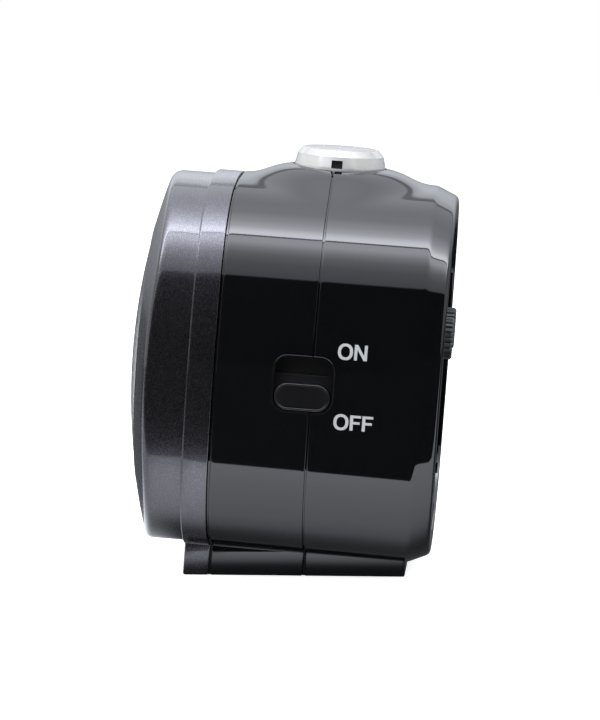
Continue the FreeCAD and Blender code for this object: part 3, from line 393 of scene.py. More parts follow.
class Palette:
    """Every finish of the clock, made once and looked up by name."""

    finishes = (
        SparklePaint("bezel_paint", (0.0470, 0.0458, 0.0535), (0.074, 0.0725, 0.081)),
        MouldedPlastic("case_gloss", (0.0030, 0.0032, 0.0038), 0.04, 0.02, 260.0, 0.000002),
        MouldedPlastic("frame_gloss", (0.0035, 0.0035, 0.0042), 0.10, 0.04, 400.0, 0.000003),
        MouldedPlastic("inner_black", (0.005, 0.005, 0.0055), 0.55, 0.1),
        # darker copy of inner_black: partly the plate's own black, partly painted shade for the inside of the
        # switch opening
        MouldedPlastic("plate_shaded_black", (0.0012, 0.0012, 0.0014), 0.5, 0.1),
        MouldedPlastic("panel_satin", (0.014, 0.014, 0.016), 0.42, 0.08, 2200.0, 0.00004),
        MouldedPlastic("knob_rubbery", (0.017, 0.020, 0.019), 0.48, 0.1, 1500.0, 0.00002),
        MouldedPlastic("switch_satin", (0.0065, 0.0065, 0.0075), 0.2, 0.06, 800.0),
        MouldedPlastic("ring_satin", (0.42, 0.43, 0.45), 0.35, 0.08, 700.0, mottle=0.04),
        MouldedPlastic("dial_matte", (0.70, 0.705, 0.69), 0.55, 0.08, 3000.0, 0.00001, mottle=0.02),
        MouldedPlastic("gear_white", (0.72, 0.71, 0.66), 0.4, mottle=0.04),
        MouldedPlastic("gear_black", (0.03, 0.03, 0.032), 0.4),
        MouldedPlastic("solder_mask", (0.015, 0.10, 0.04), 0.3),
        ClearPlastic("crystal_clear"),
        PlatedMetal("button_chrome", (0.50, 0.505, 0.50), 0.16, 500.0, 0.000004, 0.22),
        PlatedMetal("button_face", (0.53, 0.535, 0.53), 0.13, 500.0, 0.000006, 0.1),
        PlatedMetal("screw_steel", (0.55, 0.55, 0.57), 0.26),
        PlatedMetal("sounder_brass", (0.70, 0.54, 0.22), 0.22),
        BrushedMetal("cell_sleeve", (0.30, 0.31, 0.33), 0.34),
        PrintedInk("hand_black", (0.008, 0.008, 0.009), 0.35),
        PrintedInk("hand_red", (0.45, 0.02, 0.015), 0.35),
        PlatedMetal("hand_silver", (0.46, 0.47, 0.48), 0.3),
        PrintedInk("legend_white", (0.37, 0.385, 0.395), 0.5),
        PrintedInk("numeral_black", (0.009, 0.009, 0.010), 0.5),
        PrintedInk("lume", (0.60, 0.72, 0.46), 0.6),
        WoundWire("copper_winding", (0.62, 0.26, 0.10)),
    )
    renamed = {
        "case_black": "case_gloss", "ring_grey": "ring_satin", "dial_face": "dial_matte",
        "hand_white": "hand_silver", "movement_shell": "inner_black", "steel": "screw_steel",
        "copper": "copper_winding", "board_green": "solder_mask", "knob_dark": "knob_rubbery",
        "switch_dark": "switch_satin", "door_black": "panel_satin", "cell_jacket": "cell_sleeve",
    }

    def __init__(self) -> None:
        """Builds every finish."""
        self.made = {finish.name: finish.make() for finish in self.finishes}

    def dress(self, piece: Piece, name: str) -> None:
        """Gives a piece one finish all over."""
        piece.data.materials.clear()
        piece.data.materials.append(self.made[name])

    def dress_nodes(self, frame: dict) -> None:
        """Gives each CAD node the finish of its slot, which mostly has the slot's own name.
        """
        for row in frame["record"]["subparts"]:
            materials = frame["nodes"][row["node"]].data.materials
            slot = row["material_slot"]
            finish = self.made[self.renamed.get(slot, slot)]
            if not materials:
                materials.append(finish)
            for index in range(len(materials)):
                materials[index] = finish


# ---------------------------------------------------------------- the drum's form


def turned(first: float, second: float, angle: float) -> Pair:
    """Two coordinates turned by an angle."""
    return (first * cos(angle) - second * sin(angle), first * sin(angle) + second * cos(angle))


@dataclass
class Drum:
    """Rounded-square drum that leans back, with the blister round its button."""

    half: float = 45.0
    side_radius: float = 100.0
    corner_radius: float = 27.5
    lean: float = radians(4.15)
    axis_height: float = 48.84
    button_y: float = 5.9
    plateau: float = 48.3
    blister_half: Pair = (16.7, 20.8)
    blister_power: float = 6.0
    blister_reach: float = 31.0
    side_steps: int = 64
    corner_steps: int = 52
    turns: list[float] = field(default_factory=list)

    def __post_init__(self) -> None:
        """Works out the normal angles at which the outline is sampled."""
        join = self.join_angle()
        span = pi / 2 - 2 * join
        for middle in (quarter * pi / 2 for quarter in range(4)):
            self.turns += [middle - join + 2 * join * step / self.side_steps for step in range(self.side_steps)]
            self.turns += [middle + join + span * step / self.corner_steps for step in range(self.corner_steps)]

    def corner_centre(self) -> float:
        """Distance of a corner's centre from the axis, along x and z."""
        offset, reach = self.half - self.side_radius, self.side_radius - self.corner_radius
        return (offset + sqrt(2 * reach ** 2 - offset ** 2)) / 2

    def join_angle(self) -> float:
        """Half the angle over which a side bows."""
        centre = self.corner_centre()
        return atan2(centre, centre - self.half + self.side_radius)

    def outline_point(self, turn: float, inset: float) -> Pair:
        """Point of the rounded square whose outward normal has the angle turn.

        Args:
            turn: Normal's angle from +x towards +z.
            inset: Distance inside the outline.

        Returns:
            The point's x and z.
        """
        quarter = round(turn / (pi / 2))
        local = turn - quarter * pi / 2
        if abs(local) <= self.join_angle() + 1e-9:
            x, z, radius = self.half - self.side_radius, 0.0, self.side_radius - inset
        else:
            centre = self.corner_centre()
            x, z, radius = centre, copysign(centre, local), self.corner_radius - inset
        return turned(x + radius * cos(local), z + radius * sin(local), quarter * pi / 2)

    def side_x(self, height: float) -> float:
        """Where the bowed side lies at a height above the axis."""
        return self.half - self.side_radius + sqrt(self.side_radius ** 2 - height ** 2)

    def lift(self, turn: float, y: float) -> float:
        """How far the oval blister raises the skin.

        Args:
            turn: Normal's angle.
            y: Place along the drum.

        Returns:
            The rise along z.
        """
        x, z = self.outline_point(turn, 0.0)
        if z <= 0 or abs(x) >= self.blister_reach:
            return 0.0
        reach = hypot((y - self.button_y) / self.blister_half[0], x / self.blister_half[1])
        return exp(-log(2) * reach ** self.blister_power) * (self.plateau - z)

    def to_row(self, point: Vector) -> Vector:
        """Leans a drum point in millimetres into the row frame, in metres."""
        y, z = turned(point.y, point.z, -self.lean)
        return Vector((point.x, y, z + self.axis_height)) * MM

    def from_row(self, x: float, y: float, z: float) -> Vector:
        """Turns a row point in millimetres into the drum's frame."""
        return Vector((x, *turned(y, z - self.axis_height, self.lean)))

    def outline_ring(self, y: float, inset: float, skin: bool = False) -> Ring:
        """Ring of the outline at one place along the drum.

        Args:
            y: Place along the drum.
            inset: Distance inside the outline.
            skin: Whether the blister lifts the ring.

        Returns:
            The ring's points.
        """
        ring = []
        for turn in self.turns:
            x, z = self.outline_point(turn, inset)
            ring.append(Vector((x, y, z + (self.lift(turn, y) if skin else 0.0))))
        return ring

    def circle_ring(self, y: float, radius: float) -> Ring:
        """Circle whose points line up with those of the outline rings.

        Args:
            y: Place along the drum.
            radius: Radius of the circle.

        Returns:
            The ring's points.
        """
        ring = []
        for x, z in (self.outline_point(turn, 0.0) for turn in self.turns):
            reach = hypot(x, z)
            ring.append(Vector((x * radius / reach, y, z * radius / reach)))
        return ring


def bend(start: Vector, corner: Vector, end: Vector, share: float) -> Vector:
    """Point of the curve that leads from start to end round a corner."""
    return start * (1 - share) ** 2 + corner * 2 * share * (1 - share) + end * share ** 2


def rounded(path: Sequence[Triple], steps: int = 5) -> Line:
    """Rounds the corners of a line of points.

    Args:
        path: Points with the radius wanted at each.
        steps: Pieces of each rounding.

    Returns:
        The line with its corners as arcs.
    """
    line = []
    for index, (a, b, radius) in enumerate(path):
        here = Vector((a, b))
        if radius <= 0 or index in (0, len(path) - 1):
            line.append((a, b))
            continue
        back = Vector(path[index - 1][:2]) - here
        ahead = Vector(path[index + 1][:2]) - here
        reach = min(radius / tan(back.angle(ahead) / 2), 0.49 * back.length, 0.49 * ahead.length)
        start, end = here + back.normalized() * reach, here + ahead.normalized() * reach
        line += [tuple(bend(start, here, end, step / steps)) for step in range(steps + 1)]
    return line


def divided(line: Sequence[Pair], longest: float) -> Line:
    """Adds points so that no stretch of a line is longer than a limit.

    Args:
        line: The line's points.
        longest: The limit.

    Returns:
        The line with its added points.
    """
    result = [line[0]]
    for start, end in zip(line, line[1:]):
        count = max(1, ceil(dist(start, end) / longest))
        for share in (step / count for step in range(1, count + 1)):
            result.append((start[0] + (end[0] - start[0]) * share, start[1] + (end[1] - start[1]) * share))
    return result


def oval(half_along: float, half_across: float, y: float, z: float, count: int = 96) -> Ring:
    """Oval ring in plan at a height, its centre at the place y."""
    turns = (2 * pi * step / count for step in range(count))
    return [Vector((half_across * cos(turn), y + half_along * sin(turn), z)) for turn in turns]


def disc(radius: float, x: float, y: float, z: float, count: int = 40) -> Ring:
    """Circle across the drum's axis."""
    turns = (2 * pi * step / count for step in range(count))
    return [Vector((x + radius * cos(turn), y, z + radius * sin(turn))) for turn in turns]


def round_slot(size: Pair, corner: float, x: float, centre: Pair, count: int = 10) -> Ring:
    """Rounded rectangle in a plane of constant x.

    Args:
        size: Size along the drum and up the side.
        corner: Corner radius.
        x: Place of the plane.
        centre: Middle, along the drum and up the side.
        count: Steps of each corner.

    Returns:
        The ring's points.
    """
    ring = []
    corner = min(corner, size[0] / 2 - 0.01, size[1] / 2 - 0.01)
    for quarter, (side_y, side_z) in enumerate(((1, 1), (-1, 1), (-1, -1), (1, -1))):
        middle_y = centre[0] + side_y * (size[0] / 2 - corner)
        middle_z = centre[1] + side_z * (size[1] / 2 - corner)
        for step in range(count + 1):
            turn = (quarter + step / count) * pi / 2
            ring.append(Vector((x, middle_y + corner * cos(turn), middle_z + corner * sin(turn))))
    return ring


def spoke(degrees: float, width: float) -> tuple[Vector, Vector]:
    """Outward direction of a clock position, and half a width sideways."""
    turn = radians(degrees)
    return Vector((sin(turn), 0.0, cos(turn))), Vector((cos(turn), 0.0, -sin(turn))) * width / 2


# ---------------------------------------------------------------- mesh making


def place(name: str, data: bpy.types.ID) -> Piece:
    """Adds an object to the scene.

    Args:
        name: Object name.
        data: Its mesh, curve, light or camera.

    Returns:
        The object.
    """
    made = bpy.data.objects.new(name, data)
    bpy.context.scene.collection.objects.link(made)
    return made


def aim(thing: Piece, direction: Vector) -> None:
    """Points a lamp or camera along a direction."""
    thing.rotation_mode = "QUATERNION"
    thing.rotation_quaternion = direction.to_track_quat("-Z", "Y")


def evaluated(thing: Piece) -> bpy.types.Mesh:
    """New mesh of what an object's modifiers or font make."""
    bpy.context.view_layer.update()
    return bpy.data.meshes.new_from_object(thing.evaluated_get(bpy.context.evaluated_depsgraph_get()))


@dataclass
class Maker:
    """Turns drum points into finished mesh objects."""

    drum: Drum
    palette: Palette

    def piece(self, name: str, points: Sequence[Vector], faces: Sequence[Sequence[int]], body: str, finish: str,
              sharp: float = 30.0) -> Piece:
        """Makes a smooth-shaded mesh piece that rides on a body.

        Args:
            name: Piece name.
            points: Corners in the drum's frame.
            faces: Corner numbers of each face.
            body: CAD body that it rides on.
            finish: Finish name.
            sharp: Edges over this angle, in degrees, stay sharp.

        Returns:
            The new object.
        """
        mesh = bpy.data.meshes.new(name)
        mesh.from_pydata([self.drum.to_row(point) for point in points], [], faces)
        work = bmesh.new()
        work.from_mesh(mesh)
        bmesh.ops.remove_doubles(work, verts=work.verts, dist=1e-7)
        bmesh.ops.recalc_face_normals(work, faces=work.faces)
        work.to_mesh(mesh)
        work.free()
        made = place(name, mesh)
        self.palette.dress(made, finish)
        self.shade(made, sharp)
        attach(made, body)
        LOG.info("piece %s: %d faces, rides on %s", name, len(mesh.polygons), body)
        return made

    @staticmethod
    def shade(piece: Piece, sharp: float) -> None:
        """Shades a piece smooth except at its sharp edges."""
        piece.data.polygons.foreach_set("use_smooth", [True] * len(piece.data.polygons))
        piece.data.set_sharp_from_angle(angle=radians(sharp))

    def shell(self, name: str, rings: Sequence[Ring], body: str, finish: str, capped: bool = False,
              sharp: float = 30.0) -> Piece:
        """Skins a row of rings.

        Args:
            name: Piece name.
            rings: Rings of equal count.
            body: CAD body that it rides on.
            finish: Finish name.
            capped: Whether the two end rings are filled, instead of joined to one another.
            sharp: Edges over this angle stay sharp.

        Returns:
            The new object.
        """
        count, total = len(rings[0]), len(rings)
        faces = []
        for row in range(total - 1 if capped else total):
            low, high = row * count, (row + 1) % total * count
            for step in range(count):
                ahead = (step + 1) % count
                faces.append((low + step, low + ahead, high + ahead, high + step))
        if capped:
            faces += [tuple(range(count)), tuple(range((total - 1) * count, total * count))]
        return self.piece(name, [point for ring in rings for point in ring], faces, body, finish, sharp)

    def block(self, name: str, low: Sequence[float], high: Sequence[float], body: str, finish: str,
              bevel: float) -> Piece:
        """Makes a block with rounded edges.

        Args:
            name: Piece name.
            low: Lowest corner in the drum's frame.
            high: Highest corner.
            body: CAD body that it rides on.
            finish: Finish name.
            bevel: Width of its rounded edges.

        Returns:
            The new object.
        """
        ends = (low, high)
        points = [Vector((ends[i & 1][0], ends[i >> 1 & 1][1], ends[i >> 2][2])) for i in range(8)]
        made = self.piece(name, points, BOX_FACES, body, finish, 60.0)
        self.soften(made, bevel)
        return made

    @staticmethod
    def soften(piece: Piece, width: float) -> None:
        """Rounds a piece's sharp edges.

        Args:
            piece: Piece to change.
            width: Width of the rounding in millimetres.
        """
        work = bmesh.new()
        work.from_mesh(piece.data)
        edges = [edge for edge in work.edges if len(edge.link_faces) == 2
                 and edge.calc_face_angle(0.0) > radians(25)]
        bmesh.ops.bevel(work, geom=edges, offset=width * MM, segments=3, affect="EDGES", profile=0.5)
        work.to_mesh(piece.data)
        work.free()
        Maker.shade(piece, 50.0)

    def cut(self, piece: Piece, cutters: Sequence[Piece], sharp: float = 30.0) -> None:
        """Cuts shapes out of a piece and deletes the cutters.

        Args:
            piece: Piece to cut.
            cutters: Closed meshes.
            sharp: Edges over this angle stay sharp afterwards.
        """
        for cutter in cutters:
            modifier = piece.modifiers.new("cut", "BOOLEAN")
            modifier.operation = "DIFFERENCE"
            modifier.solver = "EXACT"
            modifier.object = cutter
        fresh, old = evaluated(piece), piece.data
        piece.modifiers.clear()
        fresh.name = old.name
        piece.data = fresh
        bpy.data.meshes.remove(old)
        for cutter in cutters:
            bpy.data.objects.remove(cutter)
        self.shade(piece, sharp)

    def cutter(self, rings: Sequence[Ring]) -> Piece:
        """Makes a closed bar used only to cut with.

        Args:
            rings: Rings along the bar.

        Returns:
            The bar, which rides on nothing.
        """
        made = self.shell("cutter", rings, "case", "inner_black", capped=True)
        made.parent = None
        return made


# ---------------------------------------------------------------- sub-assemblies


@dataclass
class Bezel:
    """Domed metallic front ring with a stepped rear band."""

    dome_radius: float = 145.0
    dome_apex: float = -40.3
    opening: float = 33.0
    lip: float = 0.6
    inset: float = 0.9
    rim: float = 1.5
    step_y: float = -23.4
    seam: float = -17.45
    wall: float = 3.1
    seat_y: float = -35.0
    flange_y: float = -33.8
    inner_y: float = -32.0
    seat_radius: float = 35.55
    ring_radius: float = 37.15
    dome_rings: int = 8
    rim_steps: int = 7
    side_start: float = -29.4
    longest: float = 3.0

    def dome_y(self, reach: float) -> float:
        """Place of the dome along the axis at a distance from it."""
        return self.dome_apex + self.dome_radius - sqrt(self.dome_radius ** 2 - reach ** 2)

    def dome_ring(self, drum: Drum, share: float, inset: float) -> Ring:
        """Ring on the dome between the opening and the outline.

        Args:
            drum: The drum.
            share: Place between the two.
            inset: Distance inside the outline.

        Returns:
            The ring's points.
        """
        ring = []
        for near, far in zip(drum.circle_ring(0.0, self.opening + self.lip), drum.outline_ring(0.0, inset)):
            point = near.lerp(far, share)
            ring.append(Vector((point.x, self.dome_y(hypot(point.x, point.z)), point.z)))
        return ring

    def rim_rings(self, drum: Drum) -> list[Ring]:
        """Rings that turn from the dome into the side wall.

        Args:
            drum: The drum.

        Returns:
            The rings from the dome outwards.
        """
        start = self.dome_ring(drum, 1.0, self.inset + self.rim)
        corner = self.dome_ring(drum, 1.0, self.inset)
        back = Vector((0.0, self.rim, 0.0))
        return [[bend(first, middle, middle + back, step / self.rim_steps) for first, middle in zip(start, corner)]
                for step in range(self.rim_steps + 1)]

    def rings(self, drum: Drum) -> list[Ring]:
        """Every ring of the bezel, round its section and back.

        Args:
            drum: The drum.

        Returns:
            The rings in order.
        """
        made = [drum.circle_ring(self.seat_y, self.opening)]
        lip_y = self.dome_y(self.opening)
        for share in (0.0, 0.25, 0.5, 0.75):
            reach = self.opening + self.lip * share ** 2
            made.append(drum.circle_ring(lip_y + self.lip * (1 - share) ** 2, reach))
        for step in range(self.dome_rings):
            made.append(self.dome_ring(drum, step / self.dome_rings, self.inset + self.rim))
        made += self.rim_rings(drum)
        path = [(self.side_start, self.inset, 0), (self.step_y, self.inset, 0.25), (self.step_y, 0.0, 0.4),
                (self.seam, 0.0, 0.25), (self.seam, self.wall, 0), (self.inner_y, self.wall, 0)]
        made += [drum.outline_ring(y, inset) for y, inset in divided(rounded(path, 4), self.longest)]
        for y, radius in ((self.inner_y, self.ring_radius), (self.flange_y, self.ring_radius),
                          (self.flange_y, self.seat_radius), (self.seat_y, self.seat_radius)):
            made.append(drum.circle_ring(y, radius))
        return made

    def build(self, maker: Maker) -> None:
        """Builds the ring and puts it in place of its CAD node.

        Args:
            maker: Mesh maker.
        """
        piece = maker.shell("bezel_ring", self.rings(maker.drum), "case", "bezel_paint")
        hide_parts("front_bezel")


@dataclass
class SwitchOpening:
    """Opening of the alarm switch in the side, with its raised rounded frame.

    The flare is how much the frame is larger than the opening along, up and in its corners.
    """

    y: float = 3.3
    size: Pair = (13.2, 12.3)
    flare: Triple = (1.2, 1.0, 0.5)
    cut_x: Pair = (38.0, 50.0)
    corner: float = 3.0
    proud: float = 0.25
    seam: float = 5.07
    gap: float = 0.35

    def cutter(self, maker: Maker) -> Piece:
        """Bar through the case wall."""
        return maker.cutter([round_slot(self.size, self.corner, x, (self.y, 0.0)) for x in self.cut_x])

    def build(self, maker: Maker) -> None:
        """Builds the rounded frame in two halves that meet the case's seam.

        Args:
            maker: Mesh maker.
        """
        section = rounded([(-1.6, 0.0, 0), (self.proud, 0.0, 0.2), (self.proud, 1.0, 0.3), (-0.8, 1.0, 0)], 4)
        along, up, corner = self.flare
        halves = (("switch_frame_front", -20.0, self.seam), ("switch_frame_rear", self.seam + self.gap, 20.0))
        for name, low, high in halves:
            rings = [round_slot((self.size[0] + along * grow, self.size[1] + up * grow),
                                self.corner + corner * grow, maker.drum.half + rise, (self.y, 0.0))
                     for rise, grow in section]
            piece = maker.shell(name, rings, "case", "frame_gloss")
            slabs = []
            for start, end in ((-30.0, low), (high, 30.0)):
                size, centre = (abs(end - start), 30.0), ((start + end) / 2, 0.0)
                slabs.append(maker.cutter([round_slot(size, 0.02, x, centre, 1) for x in (30.0, 60.0)]))
            maker.cut(piece, slabs)


@dataclass
class MiddleCase:
    """Glossy case between the two shadow gaps."""

    seam_front: float = -17.3
    seam_rear: float = 5.07
    gap: float = 0.45
    depth: float = 0.7
    wall: float = 2.2
    edge: float = 0.25

    def build(self, maker: Maker, opening: SwitchOpening, button: "SnoozeButton") -> None:
        """Builds the case, cuts its openings and puts it in place of its CAD node.

        Args:
            maker: Mesh maker.
            opening: Switch opening to cut.
            button: Button to leave room for.
        """
        front = self.seam_front + 0.02
        skin = rounded([(front, self.depth, 0), (self.seam_front + self.gap, self.depth, 0),
                        (self.seam_front + self.gap, 0.0, self.edge), (self.seam_rear, 0.0, self.edge),
                        (self.seam_rear, self.depth, 0)], 4)
        rings = [maker.drum.outline_ring(y, inset, True) for y, inset in divided(skin, 0.8)]
        rings += [maker.drum.outline_ring(y, self.wall) for y in (self.seam_rear, front)]
        piece = maker.shell("middle_shell", rings, "case", "case_gloss")
        maker.cut(piece, [opening.cutter(maker), button.cutter(maker)])
        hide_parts("middle_case")


@dataclass
class RearCase:
    """Glossy rear shell: tapered end, rounded rim and a recessed panel."""

    seam: float = 5.07
    gap: float = 0.35
    depth: float = 0.7
    wall: float = 2.2
    edge: float = 0.25
    taper_start: float = 29.6
    taper_round: float = 3.0
    rear_y: float = 34.75
    taper_inset: float = 2.3
    rim: float = 1.5
    recess_inset: float = 7.5
    recess_y: float = 31.0
    panel_thick: float = 2.2
    panel_overlap: float = 2.0
    screw_place: float = 31.4
    screw_pocket: float = 2.1
    pocket_depth: float = 1.4

    def build(self, maker: Maker, opening: SwitchOpening, button: "SnoozeButton") -> None:
        """Builds the shell with its screw pockets in place of the CAD node.

        Args:
            maker: Mesh maker.
            opening: Switch opening to cut.
            button: Button to leave room for.
        """
        front = self.seam + 0.02
        skin = rounded([(front, self.depth, 0), (self.seam + self.gap, self.depth, 0),
                        (self.seam + self.gap, 0.0, self.edge), (self.taper_start, 0.0, self.taper_round),
                        (self.rear_y, self.taper_inset, self.rim), (self.rear_y, self.recess_inset, 0.4),
                        (self.recess_y, self.recess_inset, 0.3),
                        (self.recess_y, self.recess_inset + self.panel_overlap, 0)], 6)
        rings = [maker.drum.outline_ring(y, inset, inset < self.wall) for y, inset in divided(skin, 0.8)]
        inner = ((self.recess_y - self.panel_thick, self.recess_inset + self.panel_overlap),
                 (self.recess_y - self.panel_thick, self.wall), (front, self.wall))
        rings += [maker.drum.outline_ring(y, inset) for y, inset in inner]
        piece = maker.shell("rear_shell", rings, "case", "case_gloss")
        places = (-self.screw_place, self.screw_place)
        pockets = [maker.cutter([disc(self.screw_pocket, x, y, z)
                                 for y in (self.recess_y - self.pocket_depth, self.rear_y + 2)])
                   for x in places for z in places]
        maker.cut(piece, [opening.cutter(maker), button.cutter(maker), *pockets])
        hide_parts("rear_case")

    def build_panel(self, maker: Maker, bay: "BatteryBay") -> None:
        """Builds the recessed panel with the battery opening, its finger scoop and the sounder slots.

        Args:
            maker: Mesh maker.
            bay: Battery bay that cuts the openings.
        """
        inset = self.recess_inset + self.panel_overlap - 0.1
        rings = [maker.drum.outline_ring(y, inset) for y in (self.recess_y - self.panel_thick, self.recess_y)]
        piece = maker.shell("rear_panel", rings, "case", "panel_satin", capped=True)
        maker.cut(piece, bay.cutters(maker), 12.0)


@dataclass
class Foot:
    """Short flat foot in three slices, its front leaning with the drum.

    The core is how far the dark strips in the gaps stay inside the sides, and reach into the slices.
    """

    half_width: float = 19.4
    height: float = 9.0
    rear: float = 25.8
    bevel: float = 0.45
    planes: tuple[float, ...] = (-23.4, -17.3, -16.95, 5.07, 5.42)
    core: Pair = (0.7, 0.5)

    def slice(self, maker: Maker, name: str, front: float, back: Optional[float], finish: str) -> None:
        """Builds one slice between two planes across the drum, the last one upright at the rear.

        Args:
            maker: Mesh maker.
            name: Piece name.
            front: Front plane along the drum.
            back: Rear plane along the drum, or None for the upright rear.
            finish: Finish name.
        """
        drum, points = maker.drum, []
        for plane in (front, back):
            for x in (-self.half_width, self.half_width):
                for height in (0.0, self.height):
                    y = self.rear
                    if plane is not None:
                        y = (plane + (height - drum.axis_height) * sin(drum.lean)) / cos(drum.lean)
                    points.append(drum.from_row(x, y, height))
        piece = maker.piece(name, points, BOX_FACES, "case", finish, 60.0)
        Maker.soften(piece, self.bevel)

    def build(self, maker: Maker) -> None:
        """Builds the three slices and the dark strips seen in their gaps.

        Args:
            maker: Mesh maker.
        """
        a, b, c, d, e = self.planes
        self.slice(maker, "foot_front", a, b, "bezel_paint")
        self.slice(maker, "foot_middle", c, d, "case_gloss")
        self.slice(maker, "foot_rear", e, None, "case_gloss")
        narrow, reach = Foot(self.half_width - self.core[0]), self.core[1]
        narrow.slice(maker, "foot_core_front", b - reach, c + reach, "inner_black")
        narrow.slice(maker, "foot_core_rear", d - reach, e + reach, "inner_black")


@dataclass
class SnoozeButton:
    """Oval chrome button: flared skirt, bright bevel, satin top face and a dark notch in its side.

    The plate of its face lies a little above the top and stays a little inside it.
    """

    y: float = 5.9
    half: Pair = (10.9, 15.8)
    low: float = 44.7
    lip_top: float = 45.8
    lip: float = 1.2
    skirt_top: float = 48.3
    rim_z: float = 50.9
    rim_in: float = 0.65
    top: float = 52.55
    face_in: float = 1.9
    plate: Pair = (0.04, 0.25)
    crown: float = 0.2
    gap: float = 0.3
    cut_z: Pair = (40.0, 60.0)
    notch: Pair = (2.6, 1.9)
    notch_top: float = 50.05
    notch_depth: float = 1.3

    def cutter(self, maker: Maker) -> Piece:
        """Oval bar that opens the case's roof."""
        return maker.cutter([oval(self.half[0] + self.gap, self.half[1] + self.gap, self.y, z)
                             for z in self.cut_z])

    def ring(self, z: float, inset: float) -> Ring:
        """Oval of the button at a height."""
        return oval(self.half[0] - inset, self.half[1] - inset, self.y, z)

    def build(self, maker: Maker) -> None:
        """Builds the button in place of its CAD node, with its face and a black block at its notch's floor,
        painted shade for the inside of the notch.

        Args:
            maker: Mesh maker.
        """
        path = rounded([(self.low, -self.lip, 0), (self.lip_top, -self.lip, 0.1), (self.lip_top, 0.0, 0),
                        (self.skirt_top, 0.0, 1.5), (self.rim_z, self.rim_in, 0.35),
                        (self.top - self.crown, self.face_in, 0.5),
                        (self.top - self.crown * 0.6, 4.0, 0), (self.top - self.crown * 0.2, 7.0, 0),
                        (self.top, 9.5, 0)], 6)
        rings = [self.ring(z, inset) for z, inset in path]
        piece = maker.shell("snooze_cap", rings, "snooze", "button_chrome", capped=True, sharp=40.0)
        low = (self.half[1] - self.notch_depth, self.y - self.notch[0] / 2, self.notch_top - self.notch[1])
        high = (self.half[1] + 2.0, self.y + self.notch[0] / 2, self.notch_top)
        notch = maker.block("cutter", low, high, "snooze", "inner_black", 0.08)
        notch.parent = None
        maker.cut(piece, [notch], 40.0)
        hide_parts("snooze_button")
        face = [(z + self.plate[0], max(inset, self.face_in + self.plate[1]))
                for z, inset in path if inset >= self.face_in]
        rings = [self.ring(z, inset) for z, inset in [(face[0][0] - 0.5, face[0][1]), *face]]
        top = maker.shell("snooze_face", rings, "snooze", "button_face", capped=True, sharp=40.0)
        # black block at the notch's floor: painted shade for the inside of the notch, which is cut from a solid
        # cap
        dark = maker.block("snooze_notch_shade", (low[0] - 0.6, low[1] - 0.2, low[2] - 0.2),
                           (low[0] + 0.15, high[1] + 0.2, high[2] + 0.2), "snooze", "inner_black", 0.05)


@dataclass
class AlarmSwitch:
    """Sliding knob with a thin rim, a sunk middle and sloping ends, on its slider plate."""

    y: float = 3.3
    size: Pair = (12.7, 6.1)
    opening_height: float = 12.3
    end_gap: float = 0.15
    face_x: float = 45.7
    back_x: float = 41.8
    dish: float = 0.5
    dish_insets: tuple[float, ...] = (0.55, 0.9, 1.4, 2.0, 2.6, 2.95)
    flat_half: float = 3.6
    slope_end: float = 5.8
    plate: Pair = (15.5, 10.0)
    plate_x: Pair = (40.85, 42.25)

    def rest(self) -> float:
        """Height of the knob's middle when it is down."""
        return -(self.opening_height - self.size[1]) / 2 + self.end_gap

    def ring(self, x: float, inset: float) -> Ring:
        """Outline of the knob in a plane of constant x."""
        size = (self.size[0] - 2 * inset, self.size[1] - 2 * inset)
        return round_slot(size, self.size[1] / 2 - inset, x, (self.y, self.rest()), 14)

    def sunk(self, y: float) -> float:
        """Depth of the knob's face at a place along it."""
        share = (self.slope_end - abs(y - self.y)) / (self.slope_end - self.flat_half)
        return self.dish * max(0.0, min(1.0, share))

    def build(self, maker: Maker) -> None:
        """Builds the knob and its plate in place of the CAD node.

        Args:
            maker: Mesh maker.
        """
        side = rounded([(self.back_x, 0.0, 0), (self.face_x, 0.0, 0.22), (self.face_x, 0.42, 0.1),
                        (self.face_x - 0.1, 0.5, 0)], 4)
        rings = [self.ring(x, inset) for x, inset in side]
        for inset in self.dish_insets:
            rings.append([Vector((self.face_x - self.sunk(point.y) - 0.05, point.y, point.z))
                          for point in self.ring(self.face_x, inset)])
        knob = maker.shell("switch_knob", rings, "alarm_slider", "switch_satin", capped=True, sharp=35.0)
        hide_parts("alarm_switch")
        # the plate's finish is the black plastic made darker still: painted shade inside the switch opening
        low = (self.plate_x[0], self.y - self.plate[0] / 2, self.rest() - self.plate[1] / 2)
        high = (self.plate_x[1], self.y + self.plate[0] / 2, self.rest() + self.plate[1] / 2)
        plate = maker.block("switch_plate", low, high, "alarm_slider", "plate_shaded_black", 0.15)


